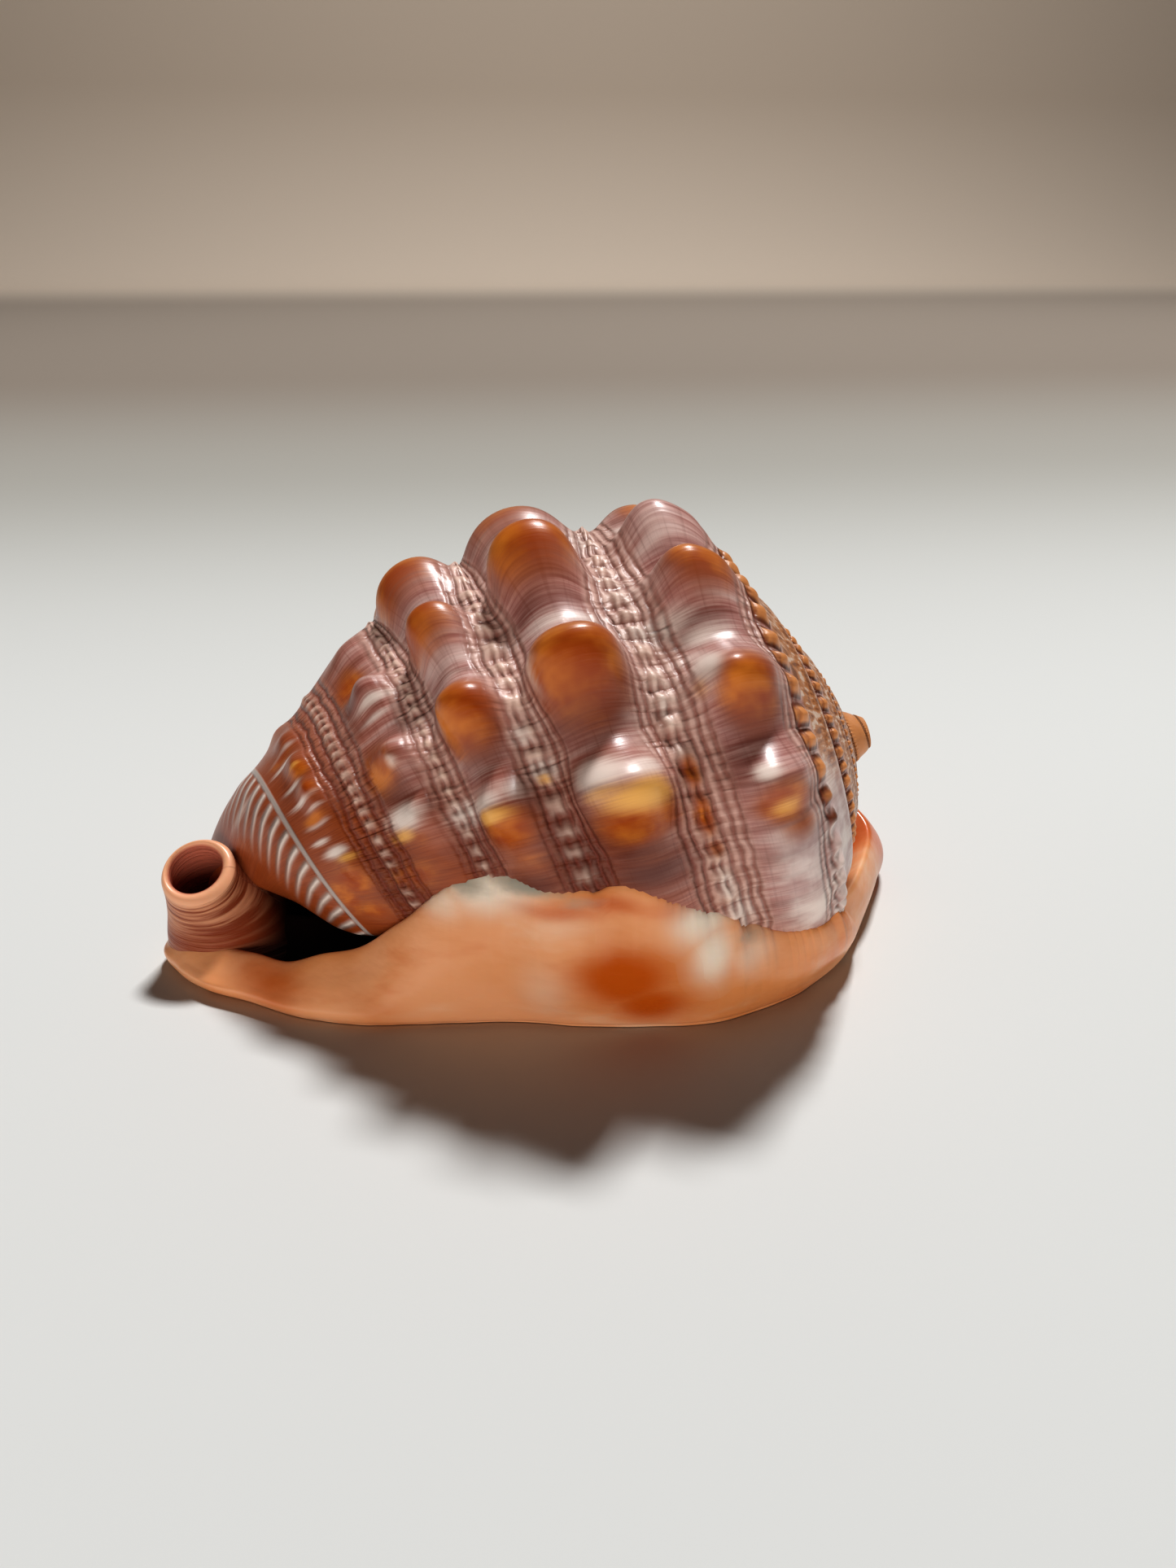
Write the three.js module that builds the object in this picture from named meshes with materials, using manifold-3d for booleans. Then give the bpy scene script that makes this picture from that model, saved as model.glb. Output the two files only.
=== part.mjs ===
// Helmet shell: one natural piece, in millimetres, +Z up, resting on the flat of its apertural side.
// X runs along the coiling axis seen from above, with the spire at +X and the siphonal canal at -X.
// The whorls are a logarithmic helico-spiral. Every point is
//   APEX + growth * (-height * AXIS + radius * (cos(angle) * BACK + sin(angle) * NEAR)),
// where growth = WHORL_GROWTH ^ (-angle / 360), and angle 0 is the top of the back.
// Growth goes from positive angles (the near side, -Y) over the back to the outer lip (+Y).

import * as THREE from "three";
import { mergeVertices } from "three/addons/utils/BufferGeometryUtils.js";
import { ParametricGeometry } from "three/addons/geometries/ParametricGeometry.js";
import Module from "manifold-3d";

// The coiling axis and how fast the whorls grow
const APEX = new THREE.Vector3(61.6, 0, 36.6);
const AXIS_PITCH = THREE.MathUtils.degToRad(13.5);
const WHORL_GROWTH = 1.6;
const LAST_GROWTH_ANGLE = -62;
const GROWTH_EASING = 30;
const AXIS = new THREE.Vector3(Math.cos(AXIS_PITCH), 0, Math.sin(AXIS_PITCH));
const BACK = new THREE.Vector3(-Math.sin(AXIS_PITCH), 0, Math.cos(AXIS_PITCH));
const NEAR = new THREE.Vector3(0, -1, 0);

// Profile of the body whorl from the suture to the front end: [height along the axis, radius]
const WHORL_FOOT = [23.4, 39.6];
const WHORL_TOP_STATION = 3.8;
const SUTURE = WHORL_FOOT.map((length) => length / WHORL_GROWTH);
const PROFILE = [
  ["pole", SUTURE[0], 0],
  ["suture", SUTURE[0], SUTURE[1]],
  ["furrow", 17.4, 31.4],
  ["beads", 21.2, 36.4],
  ["ramp", 25.5, 40.5],
  ["rowA", 31.0, 41.8],
  ["grooveAB", 42.5, 41.4],
  ["rowB", 54.0, 45.0],
  ["grooveBC", 63.5, 41.6],
  ["rowC", 72.5, 41.6],
  ["grooveCD", 79.0, 37.0],
  ["rowD", 86.5, 34.5],
  ["grooveDE", 98.0, 29.0],
  ["rowE", 103.0, 26.6],
  ["line", 108.5, 23.3],
  ["front", 113.5, 20.0],
  ["nose", 118.5, 13.0],
  ["tip", 121.0, 0],
];
const STATION = Object.fromEntries(PROFILE.map(([name], index) => [name, index]));
const PROFILE_CURVE = new THREE.SplineCurve(
  PROFILE.map(([, height, radius]) => new THREE.Vector2(height, radius)),
);

// Rows of knobs: height above the band, width across the row, width along it, last angle,
// and [angle, share of the height] of each knob
const KNOB_ROWS = [
  { at: "rowA", height: 8.0, across: 6.5, along: 5.8, last: 120,
    knobs: [[-86, 0.7], [-60, 0.8], [-34, 0.8], [-8, 1], [15, 1], [44, 1], [67.5, 0.9], [80, 0.6]] },
  { at: "rowB", height: 10.5, across: 6.8, along: 6.5, last: 80,
    knobs: [[-96, 0.7], [-70, 0.7], [-44, 0.6], [-19, 0.6], [2, 1], [33.5, 1], [61, 0.9]] },
  { at: "rowC", height: 6.5, across: 5.0, along: 5.4, last: 80,
    knobs: [[-96, 0.8], [-70, 0.8], [-44, 0.8], [-17.5, 0.85], [7, 1], [33.5, 1], [58.5, 0.8]] },
  { at: "rowD", height: 3.6, across: 4.2, along: 4.2, last: 80,
    knobs: [[-90, 0.8], [-66, 0.8], [-42, 0.6], [-18, 0.5], [7, 1], [34, 1], [53, 0.8]] },
  { at: "rowE", height: 1.6, across: 2.6, along: 3.6, last: 75,
    knobs: [[-60, 0.8], [-34, 0.8], [-8, 0.8], [12, 1], [27, 1], [60, 0.7]] },
];
const KNOB_TAIL = 1.35;
const KNOB_FADE = [-14, 4];
const FULL_SCULPTURE_RADIUS = 10;
const BAND_SHARE = 0.12;

// The far side in front of the lip stands higher, and the near side sinks under the shield
const FLARE = { size: 7, rise: [4, -32], fall: [-58, -98], foot: [12, 44], front: [78, 112] };
const SUNK = { depth: 6, over: 22 };

// Angle at which the shield begins to cover the whorl, by place on the profile: [station, angle]
const SHIELD_MARGIN = [[1, 128], [4.4, 127], [5, 124], [5.7, 120], [6.1, 114], [6.4, 101], [6.8, 88], [8, 86],
  [8.8, 80], [10, 76], [11.2, 76], [12.6, 90], [14, 94], [17, 100]];
const LIP_FADE = [-112, -86];
const TABLE_CLEARANCE = 2;
const TABLE_EASING = 2;

// The apex stands out as a small nub: around it the spire dips, less and less outward
const NUB = { foot: [2.4, 6.8], depth: 8.5, reach: 6.2 };

// The body whorl's part of the spiral
const LIP_ANGLE = -118.3;
const SHIELD_ANGLE = 142;

// Base and shield, station by station around the shell: rim [x, y], margin [x, y, z], floor z, margin thickness
const BASE = [
  [[-70, -3.6], [-67, -3, 6], 3, 7],
  [[-67, -11.4], [-62.5, -8, 8], 3, 7],
  [[-61.4, -17.2], [-58, -12.5, 7.5], 2, 5],
  [[-54, -21.5], [-52, -17, 7.5], 1.5, 3],
  [[-46.7, -26.2], [-46, -20.5, 8], 1.5, 3],
  [[-39.8, -29], [-39.5, -22.5, 9.5], 1.5, 3],
  [[-33, -30.8], [-33, -23.5, 12.5], 2, 4],
  [[-26.5, -31.4], [-26.5, -26.5, 17.5], 6, 6],
  [[-18.5, -32], [-19, -30.5, 25.5], 12, 7],
  [[-8, -33], [-9, -34, 28], 12, 7],
  [[2, -35.4], [0, -38.3, 28], 12, 7],
  [[13.5, -36.9], [12, -40.5, 28], 12, 7],
  [[24.5, -37.2], [22, -39, 23.5], 12, 7],
  [[35, -34], [34, -34.5, 14.5], 10, 7],
  [[43.4, -29.7], [43, -33, 13], 9, 5],
  [[52, -22], [51.5, -25.5, 12.5], 8, 4],
  [[59, -11], [58, -14, 12], 7, 4],
  [[65, 0], [62.5, -2, 12], 7, 4],
  [[70.6, 12], [65.5, 9, 13], 7, 4.5],
  [[66, 24], [60.5, 20.5, 15], 8, 6],
  [[56, 34], [54, 31, 16], 8, 7],
  [[42, 42], [41, 40, 18], 8, 7],
  [[24, 47], [24, 45.5, 20], 8, 7],
  [[4, 49], [4, 47.5, 20], 8, 7],
  [[-16, 46], [-16, 44.5, 20], 8, 7],
  [[-34, 37], [-34, 35.5, 17], 7, 7],
  [[-50, 25], [-50, 23, 13], 6, 7],
  [[-63, 10], [-61, 8, 9], 5, 7],
];
const RIM_WIDEST = 3;
const RIM_ROUNDING = 3.4;
const RIM_UNDERCUT = { inward: 0.9, z: 0.8 };
const FACE_PLACES = [0.3, 0.65];
const SHIELD_BULGE = 1.6;
const BULGE_FULL_HEIGHT = 12;
const MARGIN_DROP = 2;
const WELL_SHARE = 0.45;
const BASE_CENTRE = [0, 3];

// Aperture: a long slit between the toothed columella and the toothed outer lip
const SLIT_FRONT = [-49, -3.5];
const SLIT_BACK = [48, 8];
const SLIT_HALF_WIDTH = 4.4;
const SLIT_END_ROUNDING = 4;
const TOOTH_COUNT = 22;
const TOOTH_HEIGHT = 1.3;
const SLIT_TOP = 10;

// Hollow of the body whorl above the slit
const HOLLOW = { from: -112, to: 66, wall: 5, core: 0.5, first: "rowA", last: "line" };
const THROAT = [[2, 7.2], [0, 11], [24, 26], [38, 20], [33, 12], [12, 7.2]];
const THROAT_ENDS = [-36, 34];

// Siphonal canal, turned up at the front: centre, radius along X and radius along Y of each section
const CANAL = [
  [-55.0, -3.5, 2.0, 14.5, 10.0],
  [-57.0, -3.8, 6.5, 12.2, 9.2],
  [-59.7, -4.0, 11.5, 9.0, 7.9],
  [-61.5, -4.8, 15.6, 7.0, 6.9],
  [-62.0, -5.5, 18.4, 6.6, 6.5],
];
const CANAL_TILT = [[0, 0, 1], [0, -0.1, 1], [-0.1, -0.25, 0.95], [-0.15, -0.45, 0.86], [-0.15, -0.55, 0.82]];
const CANAL_BORE = [[-48, -3, 6.3, 3.8], [-54, -3, 7.5, 4.2], [-59.5, -2.6, 11, 4.4], [-61.6, -4.6, 15.6, 4.6],
  [-62.6, -7.4, 21.4, 5.2]];

// Mesh fineness
const PROFILE_STEPS = 42;
const ANGLE_STEPS = 50;
const SPIRE_WHORLS = 5.2;
const SPIRE_ROWS = 24;
const SPIRE_COLUMNS = 30;
const SPIRE_SINK = 0.7;
const SECTION_SIDES = 14;
const HOLLOW_ARC_STEPS = 13;
const HOLLOW_ROWS = 14;

const wasm = await Module();
wasm.setup();

function smooth(from, to, value) {
  const share = THREE.MathUtils.clamp((value - from) / (to - from), 0, 1);
  return share * share * (3 - 2 * share);
}

// Keeps the underside of the whorl just above the table
function liftToTable(z) {
  const over = z - TABLE_CLEARANCE;
  return TABLE_CLEARANCE + 0.5 * (over + Math.hypot(over, TABLE_EASING));
}

function profileAt(station) {
  return PROFILE_CURVE.getPoint(THREE.MathUtils.clamp(station / (PROFILE.length - 1), 0, 1));
}

function profileNormal(station) {
  const step = 0.01;
  const along = profileAt(station + step).sub(profileAt(station - step));
  return new THREE.Vector2(-along.y, along.x).normalize();
}

function shieldMarginAt(station) {
  const after = Math.max(1, SHIELD_MARGIN.findIndex(([place]) => place >= station));
  const [[fromStation, fromAngle], [toStation, toAngle]] = SHIELD_MARGIN.slice(after - 1, after + 1);
  return THREE.MathUtils.mapLinear(station, fromStation, toStation, fromAngle, toAngle);
}

// How far the far side of the back is widened
function flareAt(place, angle) {
  return FLARE.size * smooth(...FLARE.rise, angle) * (1 - smooth(...FLARE.fall, angle))
    * smooth(...FLARE.foot, place.x) * (1 - smooth(...FLARE.front, place.x));
}

// How far knobs, bands and flare stand out at a place on the profile
function sculpture(station, place, angle) {
  let height = 0;
  for (const row of KNOB_ROWS) {
    const [, rowHeight, rowRadius] = PROFILE[STATION[row.at]];
    const knob = Math.max(...row.knobs.map(([knobAngle, share]) => {
      const past = THREE.MathUtils.degToRad(angle - knobAngle) * rowRadius;
      return share * Math.exp(-((past / (past > 0 ? row.along * KNOB_TAIL : row.along)) ** 2));
    }));
    const off = Math.hypot(place.x - rowHeight, place.y - rowRadius);
    const band = Math.exp(-((off / row.across) ** 2));
    const [fadeFrom, fadeTo] = KNOB_FADE.map((turn) => row.last + turn);
    const fade = (1 - smooth(fadeFrom, fadeTo, angle)) * smooth(...LIP_FADE, angle);
    height += row.height * band * (BAND_SHARE + (1 - BAND_SHARE) * knob) * (angle > 180 ? 1 : fade);
  }
  const start = shieldMarginAt(station);
  const sunk = angle > 180 ? 0 : smooth(start, start + SUNK.over, angle);
  return height + flareAt(place, angle) - SUNK.depth * sunk;
}

// The shell stops widening shortly before the lip
function growthAngle(angle) {
  const over = angle - LAST_GROWTH_ANGLE;
  return LAST_GROWTH_ANGLE + 0.5 * (over + Math.hypot(over, GROWTH_EASING));
}

function onSpiral(height, radius, angle) {
  const growth = WHORL_GROWTH ** (-growthAngle(angle) / 360);
  const turn = THREE.MathUtils.degToRad(angle);
  const dip = NUB.depth * smooth(...NUB.foot, growth * radius) * Math.exp(-growth * radius / NUB.reach);
  return APEX.clone()
    .addScaledVector(AXIS, -growth * height - dip)
    .addScaledVector(BACK, growth * radius * Math.cos(turn))
    .addScaledVector(NEAR, growth * radius * Math.sin(turn));
}

function shellPoint(station, angle, inset = 0) {
  const place = profileAt(station);
  const normal = profileNormal(station);
  const fullness = Math.min(1, place.y / FULL_SCULPTURE_RADIUS);
  const raised = (sculpture(station, place, angle) - inset) * fullness;
  const point = onSpiral(place.x + normal.x * raised, Math.max(0, place.y + normal.y * raised), angle);
  point.z = liftToTable(point.z);
  return point;
}

// Closed solid from a grid of points: columns go round, and both end rows shrink to a point
function solidOfRevolutionLike(pointAt, columns, rows) {
  const ends = [0, 1].map((row) => {
    const middle = new THREE.Vector3();
    for (let column = 0; column < columns; column += 1) {
      middle.addScaledVector(pointAt(column / columns, row), 1 / columns);
    }
    return middle;
  });
  const geometry = new ParametricGeometry((u, v, target) => {
    if (v < 1e-6) {
      target.copy(ends[0]);
    } else if (v > 1 - 1e-6) {
      target.copy(ends[1]);
    } else {
      target.copy(pointAt(u > 1 - 1e-6 ? 0 : u, v));
    }
  }, columns, rows);
  return toSolid(geometry);
}

// Merged triangles without the empty ones at the poles, facing outward
function toSolid(geometry) {
  const bare = geometry.clone();
  bare.deleteAttribute("normal");
  bare.deleteAttribute("uv");
  const merged = mergeVertices(bare, 1e-5);
  const positions = merged.attributes.position.array;
  const index = merged.index.array;
  const faces = [];
  for (let corner = 0; corner < index.length; corner += 3) {
    const [a, b, c] = [index[corner], index[corner + 1], index[corner + 2]];
    if (a !== b && b !== c && c !== a) {
      faces.push(a, b, c);
    }
  }
  const solid = makeManifold(positions, faces);
  if (solid.volume() > 0) {
    return solid;
  }
  for (let corner = 0; corner < faces.length; corner += 3) {
    [faces[corner], faces[corner + 1]] = [faces[corner + 1], faces[corner]];
  }
  return makeManifold(positions, faces);
}

function makeManifold(positions, faces) {
  return new wasm.Manifold(new wasm.Mesh({
    numProp: 3,
    vertProperties: new Float32Array(positions),
    triVerts: new Uint32Array(faces),
  }));
}

// The last whorl, from under the shield over the back to the outer lip
function bodyWhorl() {
  return solidOfRevolutionLike((round, along) => {
    const share = Math.min(1, (round * (ANGLE_STEPS + 1)) / ANGLE_STEPS);
    const angle = THREE.MathUtils.lerp(SHIELD_ANGLE, LIP_ANGLE, share);
    const station = THREE.MathUtils.lerp(STATION.suture, STATION.tip, along);
    return shellPoint(station, angle);
  }, ANGLE_STEPS + 1, PROFILE_STEPS);
}

// The older whorls: the same spiral, seen from the shoulder of one whorl to the next
function spire() {
  return solidOfRevolutionLike((round, along) => {
    const turn = round - 0.5;
    const whorl = 1 + SPIRE_WHORLS * along - turn - 0.5;
    const count = Math.floor(whorl);
    const station = THREE.MathUtils.lerp(WHORL_TOP_STATION, STATION.suture, whorl - count);
    const angle = 360 * (count + turn);
    return shellPoint(station, angle, angle < 180 ? SPIRE_SINK : 0);
  }, SPIRE_COLUMNS, SPIRE_ROWS);
}

// The base with its rolled rim, the shield on the near side and the thick outer lip
function base() {
  const toCurve = (points) => new THREE.CatmullRomCurve3(points, true, "catmullrom", 0.5);
  const rim = toCurve(BASE.map(([[x, y]]) => new THREE.Vector3(x, y, RIM_WIDEST)));
  const margin = toCurve(BASE.map(([, [x, y, z]]) => new THREE.Vector3(x, y, z)));
  const inside = toCurve(BASE.map(([, , z, thickness]) => new THREE.Vector3(thickness, 0, z)));
  const centre = new THREE.Vector3(BASE_CENTRE[0], BASE_CENTRE[1], 0);
  const section = (round) => {
    const edge = rim.getPoint(round);
    const top = margin.getPoint(round);
    const inward = rim.getTangent(round).cross(new THREE.Vector3(0, 0, 1)).normalize().negate();
    const height = top.z - edge.z;
    const onFace = (share) => edge.clone().lerp(top, share)
      .addScaledVector(inward, -SHIELD_BULGE * Math.sin(Math.PI * share) * Math.min(1, height / BULGE_FULL_HEIGHT));
    const low = edge.clone().addScaledVector(inward, RIM_UNDERCUT.inward).setZ(RIM_UNDERCUT.z);
    const flat = edge.clone().addScaledVector(inward, RIM_ROUNDING).setZ(0);
    const { x: thickness, z: floor } = inside.getPoint(round);
    const inner = top.clone().addScaledVector(inward, thickness).setZ(Math.max(top.z - MARGIN_DROP, floor));
    const well = edge.clone().lerp(centre, WELL_SHARE).setZ(floor);
    return [centre.clone(), flat, low, edge, ...FACE_PLACES.map(onFace), top, inner, well,
      centre.clone().setZ(SLIT_TOP - MARGIN_DROP)];
  };
  const rows = section(0).length - 1;
  return solidOfRevolutionLike((round, along) => section(round)[Math.round(along * rows)], BASE.length * 2, rows);
}

// The turned-up canal as a loft of ellipses
function loft(sections) {
  const rows = sections.length + 1;
  return solidOfRevolutionLike((round, along) => {
    const row = Math.round(along * rows);
    const { centre, axis, wide, deep } = sections[THREE.MathUtils.clamp(row - 1, 0, sections.length - 1)];
    if (row === 0 || row === rows) {
      return centre.clone();
    }
    const side = new THREE.Vector3(1, 0, 0).projectOnPlane(axis).normalize();
    const depth = axis.clone().cross(side).normalize();
    const turn = 2 * Math.PI * round;
    return centre.clone()
      .addScaledVector(side, wide * Math.cos(turn))
      .addScaledVector(depth, deep * Math.sin(turn));
  }, SECTION_SIDES, rows);
}

function canal() {
  return loft(CANAL.map(([x, y, z, wide, deep], index) => ({
    centre: new THREE.Vector3(x, y, z),
    axis: new THREE.Vector3(...CANAL_TILT[index]).normalize(),
    wide,
    deep,
  })));
}

function canalBore() {
  const line = new THREE.CatmullRomCurve3(CANAL_BORE.map(([x, y, z]) => new THREE.Vector3(x, y, z)));
  const last = CANAL_BORE.length - 1;
  return loft(CANAL_BORE.map(([, , , radius], index) => {
    const axis = line.getTangent(index / last);
    return { centre: line.getPoint(index / last), axis, wide: radius, deep: radius };
  }));
}

// Toothed slit outline, cut straight up into the hollow
function slit() {
  const start = new THREE.Vector2(...SLIT_FRONT);
  const end = new THREE.Vector2(...SLIT_BACK);
  const along = end.clone().sub(start);
  const across = new THREE.Vector2(-along.y, along.x).normalize();
  const steps = TOOTH_COUNT * 2 + 1;
  const edge = (side) => Array.from({ length: steps - 1 }, (_, index) => {
    const share = (index + 1) / steps;
    const width = SLIT_HALF_WIDTH * Math.min(1, SLIT_END_ROUNDING * Math.sqrt(share * (1 - share)));
    const tooth = index % 2 === 0 ? 0 : TOOTH_HEIGHT * Math.min(1, width / SLIT_HALF_WIDTH);
    return start.clone().addScaledVector(along, share).addScaledVector(across, side * (width - tooth));
  });
  const outline = new THREE.Shape([start, ...edge(-1), end, ...edge(1).reverse()]);
  const geometry = new THREE.ExtrudeGeometry(outline, { depth: SLIT_TOP + 1, bevelEnabled: false });
  geometry.translate(0, 0, -1);
  return toSolid(geometry);
}

// Slanted way from the slit into the hollow, on the side of the outer lip
function throat() {
  const outline = new THREE.Shape(THROAT.map(([y, z]) => new THREE.Vector2(y, z)));
  const [from, to] = THROAT_ENDS;
  const geometry = new THREE.ExtrudeGeometry(outline, { depth: to - from, bevelEnabled: false });
  geometry.applyMatrix4(new THREE.Matrix4().makeBasis(
    new THREE.Vector3(0, 1, 0),
    new THREE.Vector3(0, 0, 1),
    new THREE.Vector3(1, 0, 0),
  ));
  geometry.translate(from, 0, 0);
  return toSolid(geometry);
}

// Curved hollow between the outer wall and the columella
function hollow() {
  const columns = 2 * (HOLLOW_ARC_STEPS + 1);
  return solidOfRevolutionLike((round, along) => {
    const station = THREE.MathUtils.lerp(STATION[HOLLOW.first], STATION[HOLLOW.last], along);
    const place = profileAt(station);
    const column = Math.round(round * columns) % columns;
    const outer = column <= HOLLOW_ARC_STEPS;
    const share = outer ? column / HOLLOW_ARC_STEPS : 1 - (column - HOLLOW_ARC_STEPS - 1) / HOLLOW_ARC_STEPS;
    const angle = THREE.MathUtils.lerp(HOLLOW.from, HOLLOW.to, share);
    const wallRadius = place.y + flareAt(place, angle) - HOLLOW.wall;
    return onSpiral(place.x, outer ? wallRadius : place.y * HOLLOW.core, angle);
  }, columns, HOLLOW_ROWS);
}

// One closed surface: small loose pieces and sealed pockets are dropped
function mainBody(solid) {
  return solid.decompose().reduce((most, piece) => (piece.volume() > most.volume() ? piece : most));
}

function helmetShell() {
  const outside = mainBody(bodyWhorl().add(spire()).add(base()).add(canal()));
  const inside = hollow().add(throat()).add(slit()).add(canalBore());
  const mesh = mainBody(outside.subtract(inside)).getMesh();
  const geometry = new THREE.BufferGeometry();
  geometry.setAttribute("position", new THREE.Float32BufferAttribute(mesh.vertProperties, 3));
  geometry.setIndex(Array.from(mesh.triVerts));
  return geometry;
}

// Stands the shell on z = 0 with its box centred on the origin
function centreOnTable(geometry) {
  geometry.computeBoundingBox();
  const { min, max } = geometry.boundingBox;
  geometry.translate(-(min.x + max.x) / 2, -(min.y + max.y) / 2, -min.z);
  return geometry;
}

const enamel = new THREE.MeshStandardMaterial({ color: 0xa8785c, roughness: 0.35, metalness: 0 });
const shell = new THREE.Mesh(centreOnTable(helmetShell()), enamel);
shell.name = "helmet_shell";
const object = new THREE.Group();
object.add(shell);
export default object;
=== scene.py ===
"""Helmet shell resting on a pale table: the finished surface of one large sea shell.

The whorls follow a logarithmic helico-spiral. A point of the outer surface has a height along the coiling
axis, a radius from it and an angle round it, all multiplied by a growth factor that falls with the angle.
"""

from functools import partial

import bpy
import numpy as np
from mathutils import Matrix, Vector


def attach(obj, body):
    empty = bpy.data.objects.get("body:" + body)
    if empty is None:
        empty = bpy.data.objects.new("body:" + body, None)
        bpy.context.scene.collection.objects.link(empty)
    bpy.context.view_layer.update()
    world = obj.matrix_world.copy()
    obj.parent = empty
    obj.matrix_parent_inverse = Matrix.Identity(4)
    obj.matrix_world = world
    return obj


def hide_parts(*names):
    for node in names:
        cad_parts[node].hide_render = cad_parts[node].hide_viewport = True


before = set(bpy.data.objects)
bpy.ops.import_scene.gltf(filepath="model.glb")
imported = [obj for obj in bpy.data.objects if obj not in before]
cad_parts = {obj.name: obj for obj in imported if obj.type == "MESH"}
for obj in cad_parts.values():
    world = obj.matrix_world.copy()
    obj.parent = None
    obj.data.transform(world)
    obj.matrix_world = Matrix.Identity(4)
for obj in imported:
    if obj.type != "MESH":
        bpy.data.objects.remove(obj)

bl_info = {
    "name": "Helmet shell",
    "version": (1, 0, 0),
    "blender": (4, 5, 0),
    "location": "3D View > Sidebar > Shell",
    "description": "Builds the surface of a knobbed helmet shell",
    "category": "Add Mesh",
}

MM = 0.001
NODE = "helmet_shell"

# The coiling axis, in millimetres, before the shell is centred on the origin
CENTRE = np.array([0.3, 6.927, 0.0])
APEX = np.array([61.6, 0.0, 36.6])
AXIS_PITCH = np.radians(13.5)
AXIS = np.array([np.cos(AXIS_PITCH), 0.0, np.sin(AXIS_PITCH)])
BACK = np.array([-np.sin(AXIS_PITCH), 0.0, np.cos(AXIS_PITCH)])
NEAR = np.array([0.0, -1.0, 0.0])

# Angles round the axis, in degrees, zero at the back and more on the near side: the whorl stops widening,
# softly, at the first, and runs from under the shield to the lip; past the last come the older whorls
GROWTH_END, GROWTH_SOFTNESS = -62.0, 30.0
LIP_ANGLE = -118.3
SHIELD_ANGLE = 142.0
OLDER_WHORLS = 180.0

# The photograph's viewpoint
CAMERA_AT = np.array([-17.7, -194.0, 120.0])
CAMERA_TURN = np.radians(-7.5)
CAMERA_DOWN = np.radians(25.0)
LENS = 27.03

# Profile of the body whorl: height along the axis and radius
WHORL_FOOT = (23.4, 39.6)
WHORL_TOP_STATION = 3.8
STATIONS = ("pole suture furrow beads ramp rowA grooveAB rowB grooveBC rowC grooveCD rowD grooveDE rowE line "
            "front nose tip").split()
OUTLINE = ((17.4, 31.4), (21.2, 36.4), (25.5, 40.5), (31.0, 41.8), (42.5, 41.4), (54.0, 45.0),
           (63.5, 41.6), (72.5, 41.6), (79.0, 37.0), (86.5, 34.5), (98.0, 29.0), (103.0, 26.6),
           (108.5, 23.3), (113.5, 20.0), (118.5, 13.0), (121.0, 0.0))

# Rows of knobs: station, height, width across and along the row, last angle, angle and share of each knob
KNOB_ROWS = (
    ("rowA", 8.0, 6.5, 5.8, 120.0,
     ((-86, 0.7), (-60, 0.8), (-34, 0.8), (-8, 1), (15, 1), (44, 1), (67.5, 0.9), (80, 0.6))),
    ("rowB", 10.5, 6.8, 6.5, 80.0,
     ((-96, 0.7), (-70, 0.7), (-44, 0.6), (-19, 0.6), (2, 1), (33.5, 1), (61, 0.9))),
    ("rowC", 6.5, 5.0, 5.4, 80.0,
     ((-96, 0.8), (-70, 0.8), (-44, 0.8), (-17.5, 0.85), (7, 1), (33.5, 1), (58.5, 0.8))),
    ("rowD", 3.6, 4.2, 4.2, 80.0,
     ((-90, 0.8), (-66, 0.8), (-42, 0.6), (-18, 0.5), (7, 1), (34, 1), (53, 0.8))),
    ("rowE", 1.6, 2.6, 3.6, 75.0,
     ((-60, 0.8), (-34, 0.8), (-8, 0.8), (12, 1), (27, 1), (60, 0.7))),
)
# A knob's longer tail, the power that narrows its crest, and the low band that joins a row
KNOB_TAIL = 1.25
KNOB_PEAK = 1.4
BAND_SHARE = 0.05
# How fast a knob's colour field falls off across its row
KNOB_COVER = 1.3
# Angles over which a row ends, from its last angle, and over which all rows end at the lip
ROW_END = (-14.0, 4.0)
LIP_FADE = (-112.0, -86.0)
# The whorl rounds off this far above the table, with a corner this soft
TABLE_CLEARANCE, TABLE_SOFTNESS = 2.0, 2.0

# The far side of the back stands higher: how much, at which angles and at which heights along the axis
FLARE_SIZE = 7.0
FLARE_RISE, FLARE_FALL = (4.0, -32.0), (-58.0, -98.0)
FLARE_HEIGHTS = (12.0, 44.0, 78.0, 112.0)

# The apex stands out as a small nub: around it the spire dips, less and less outward
NUB_FOOT, NUB_DEPTH, NUB_REACH = (2.4, 6.8), 8.5, 6.2

# Relief fades to nothing within this radius of the axis; the step is the one for slopes of the profile
AXIS_FADE = 10.0
PROFILE_STEP = 0.01

# Station on the profile and the angle at which the shield begins to cover the whorl there; under the shield
# the whorl sinks by a depth over an angle
SHIELD_MARGIN = np.array([(1, 128), (4.4, 127), (5, 124), (5.7, 120), (6.1, 114), (6.4, 101), (6.8, 88),
                          (8, 86), (8.8, 80), (10, 76), (11.2, 76), (12.6, 90), (14, 94), (17, 100)], float)
SUNK_DEPTH, SUNK_OVER = 6.0, 22.0

# Zones of fine cords: middle and half width, in millimetres along the profile
CORD_ZONES = ((17.0, 2.4), (37.0, 6.2), (60.2, 4.8), (78.2, 4.0), (95.0, 4.8))
# Soft edge of a zone, and pitch and sway of its cords and of the folds across them
ZONE_EDGE = (-1.0, 0.8)
CORD_PITCH, CORD_SWAY = 1.75, 2.2
FOLD_PITCH, FOLD_SWAY = 2.0, 5.0

# Ribs in front of the whorl, and the pale line behind them, in millimetres along the profile
RIB_START, RIB_PITCH = 108.0, 6.2
LINE_PLACE = 110.4
RIB_RISE, RIB_FALL = (110.6, 111.6), (113.0, 123.0)

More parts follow.
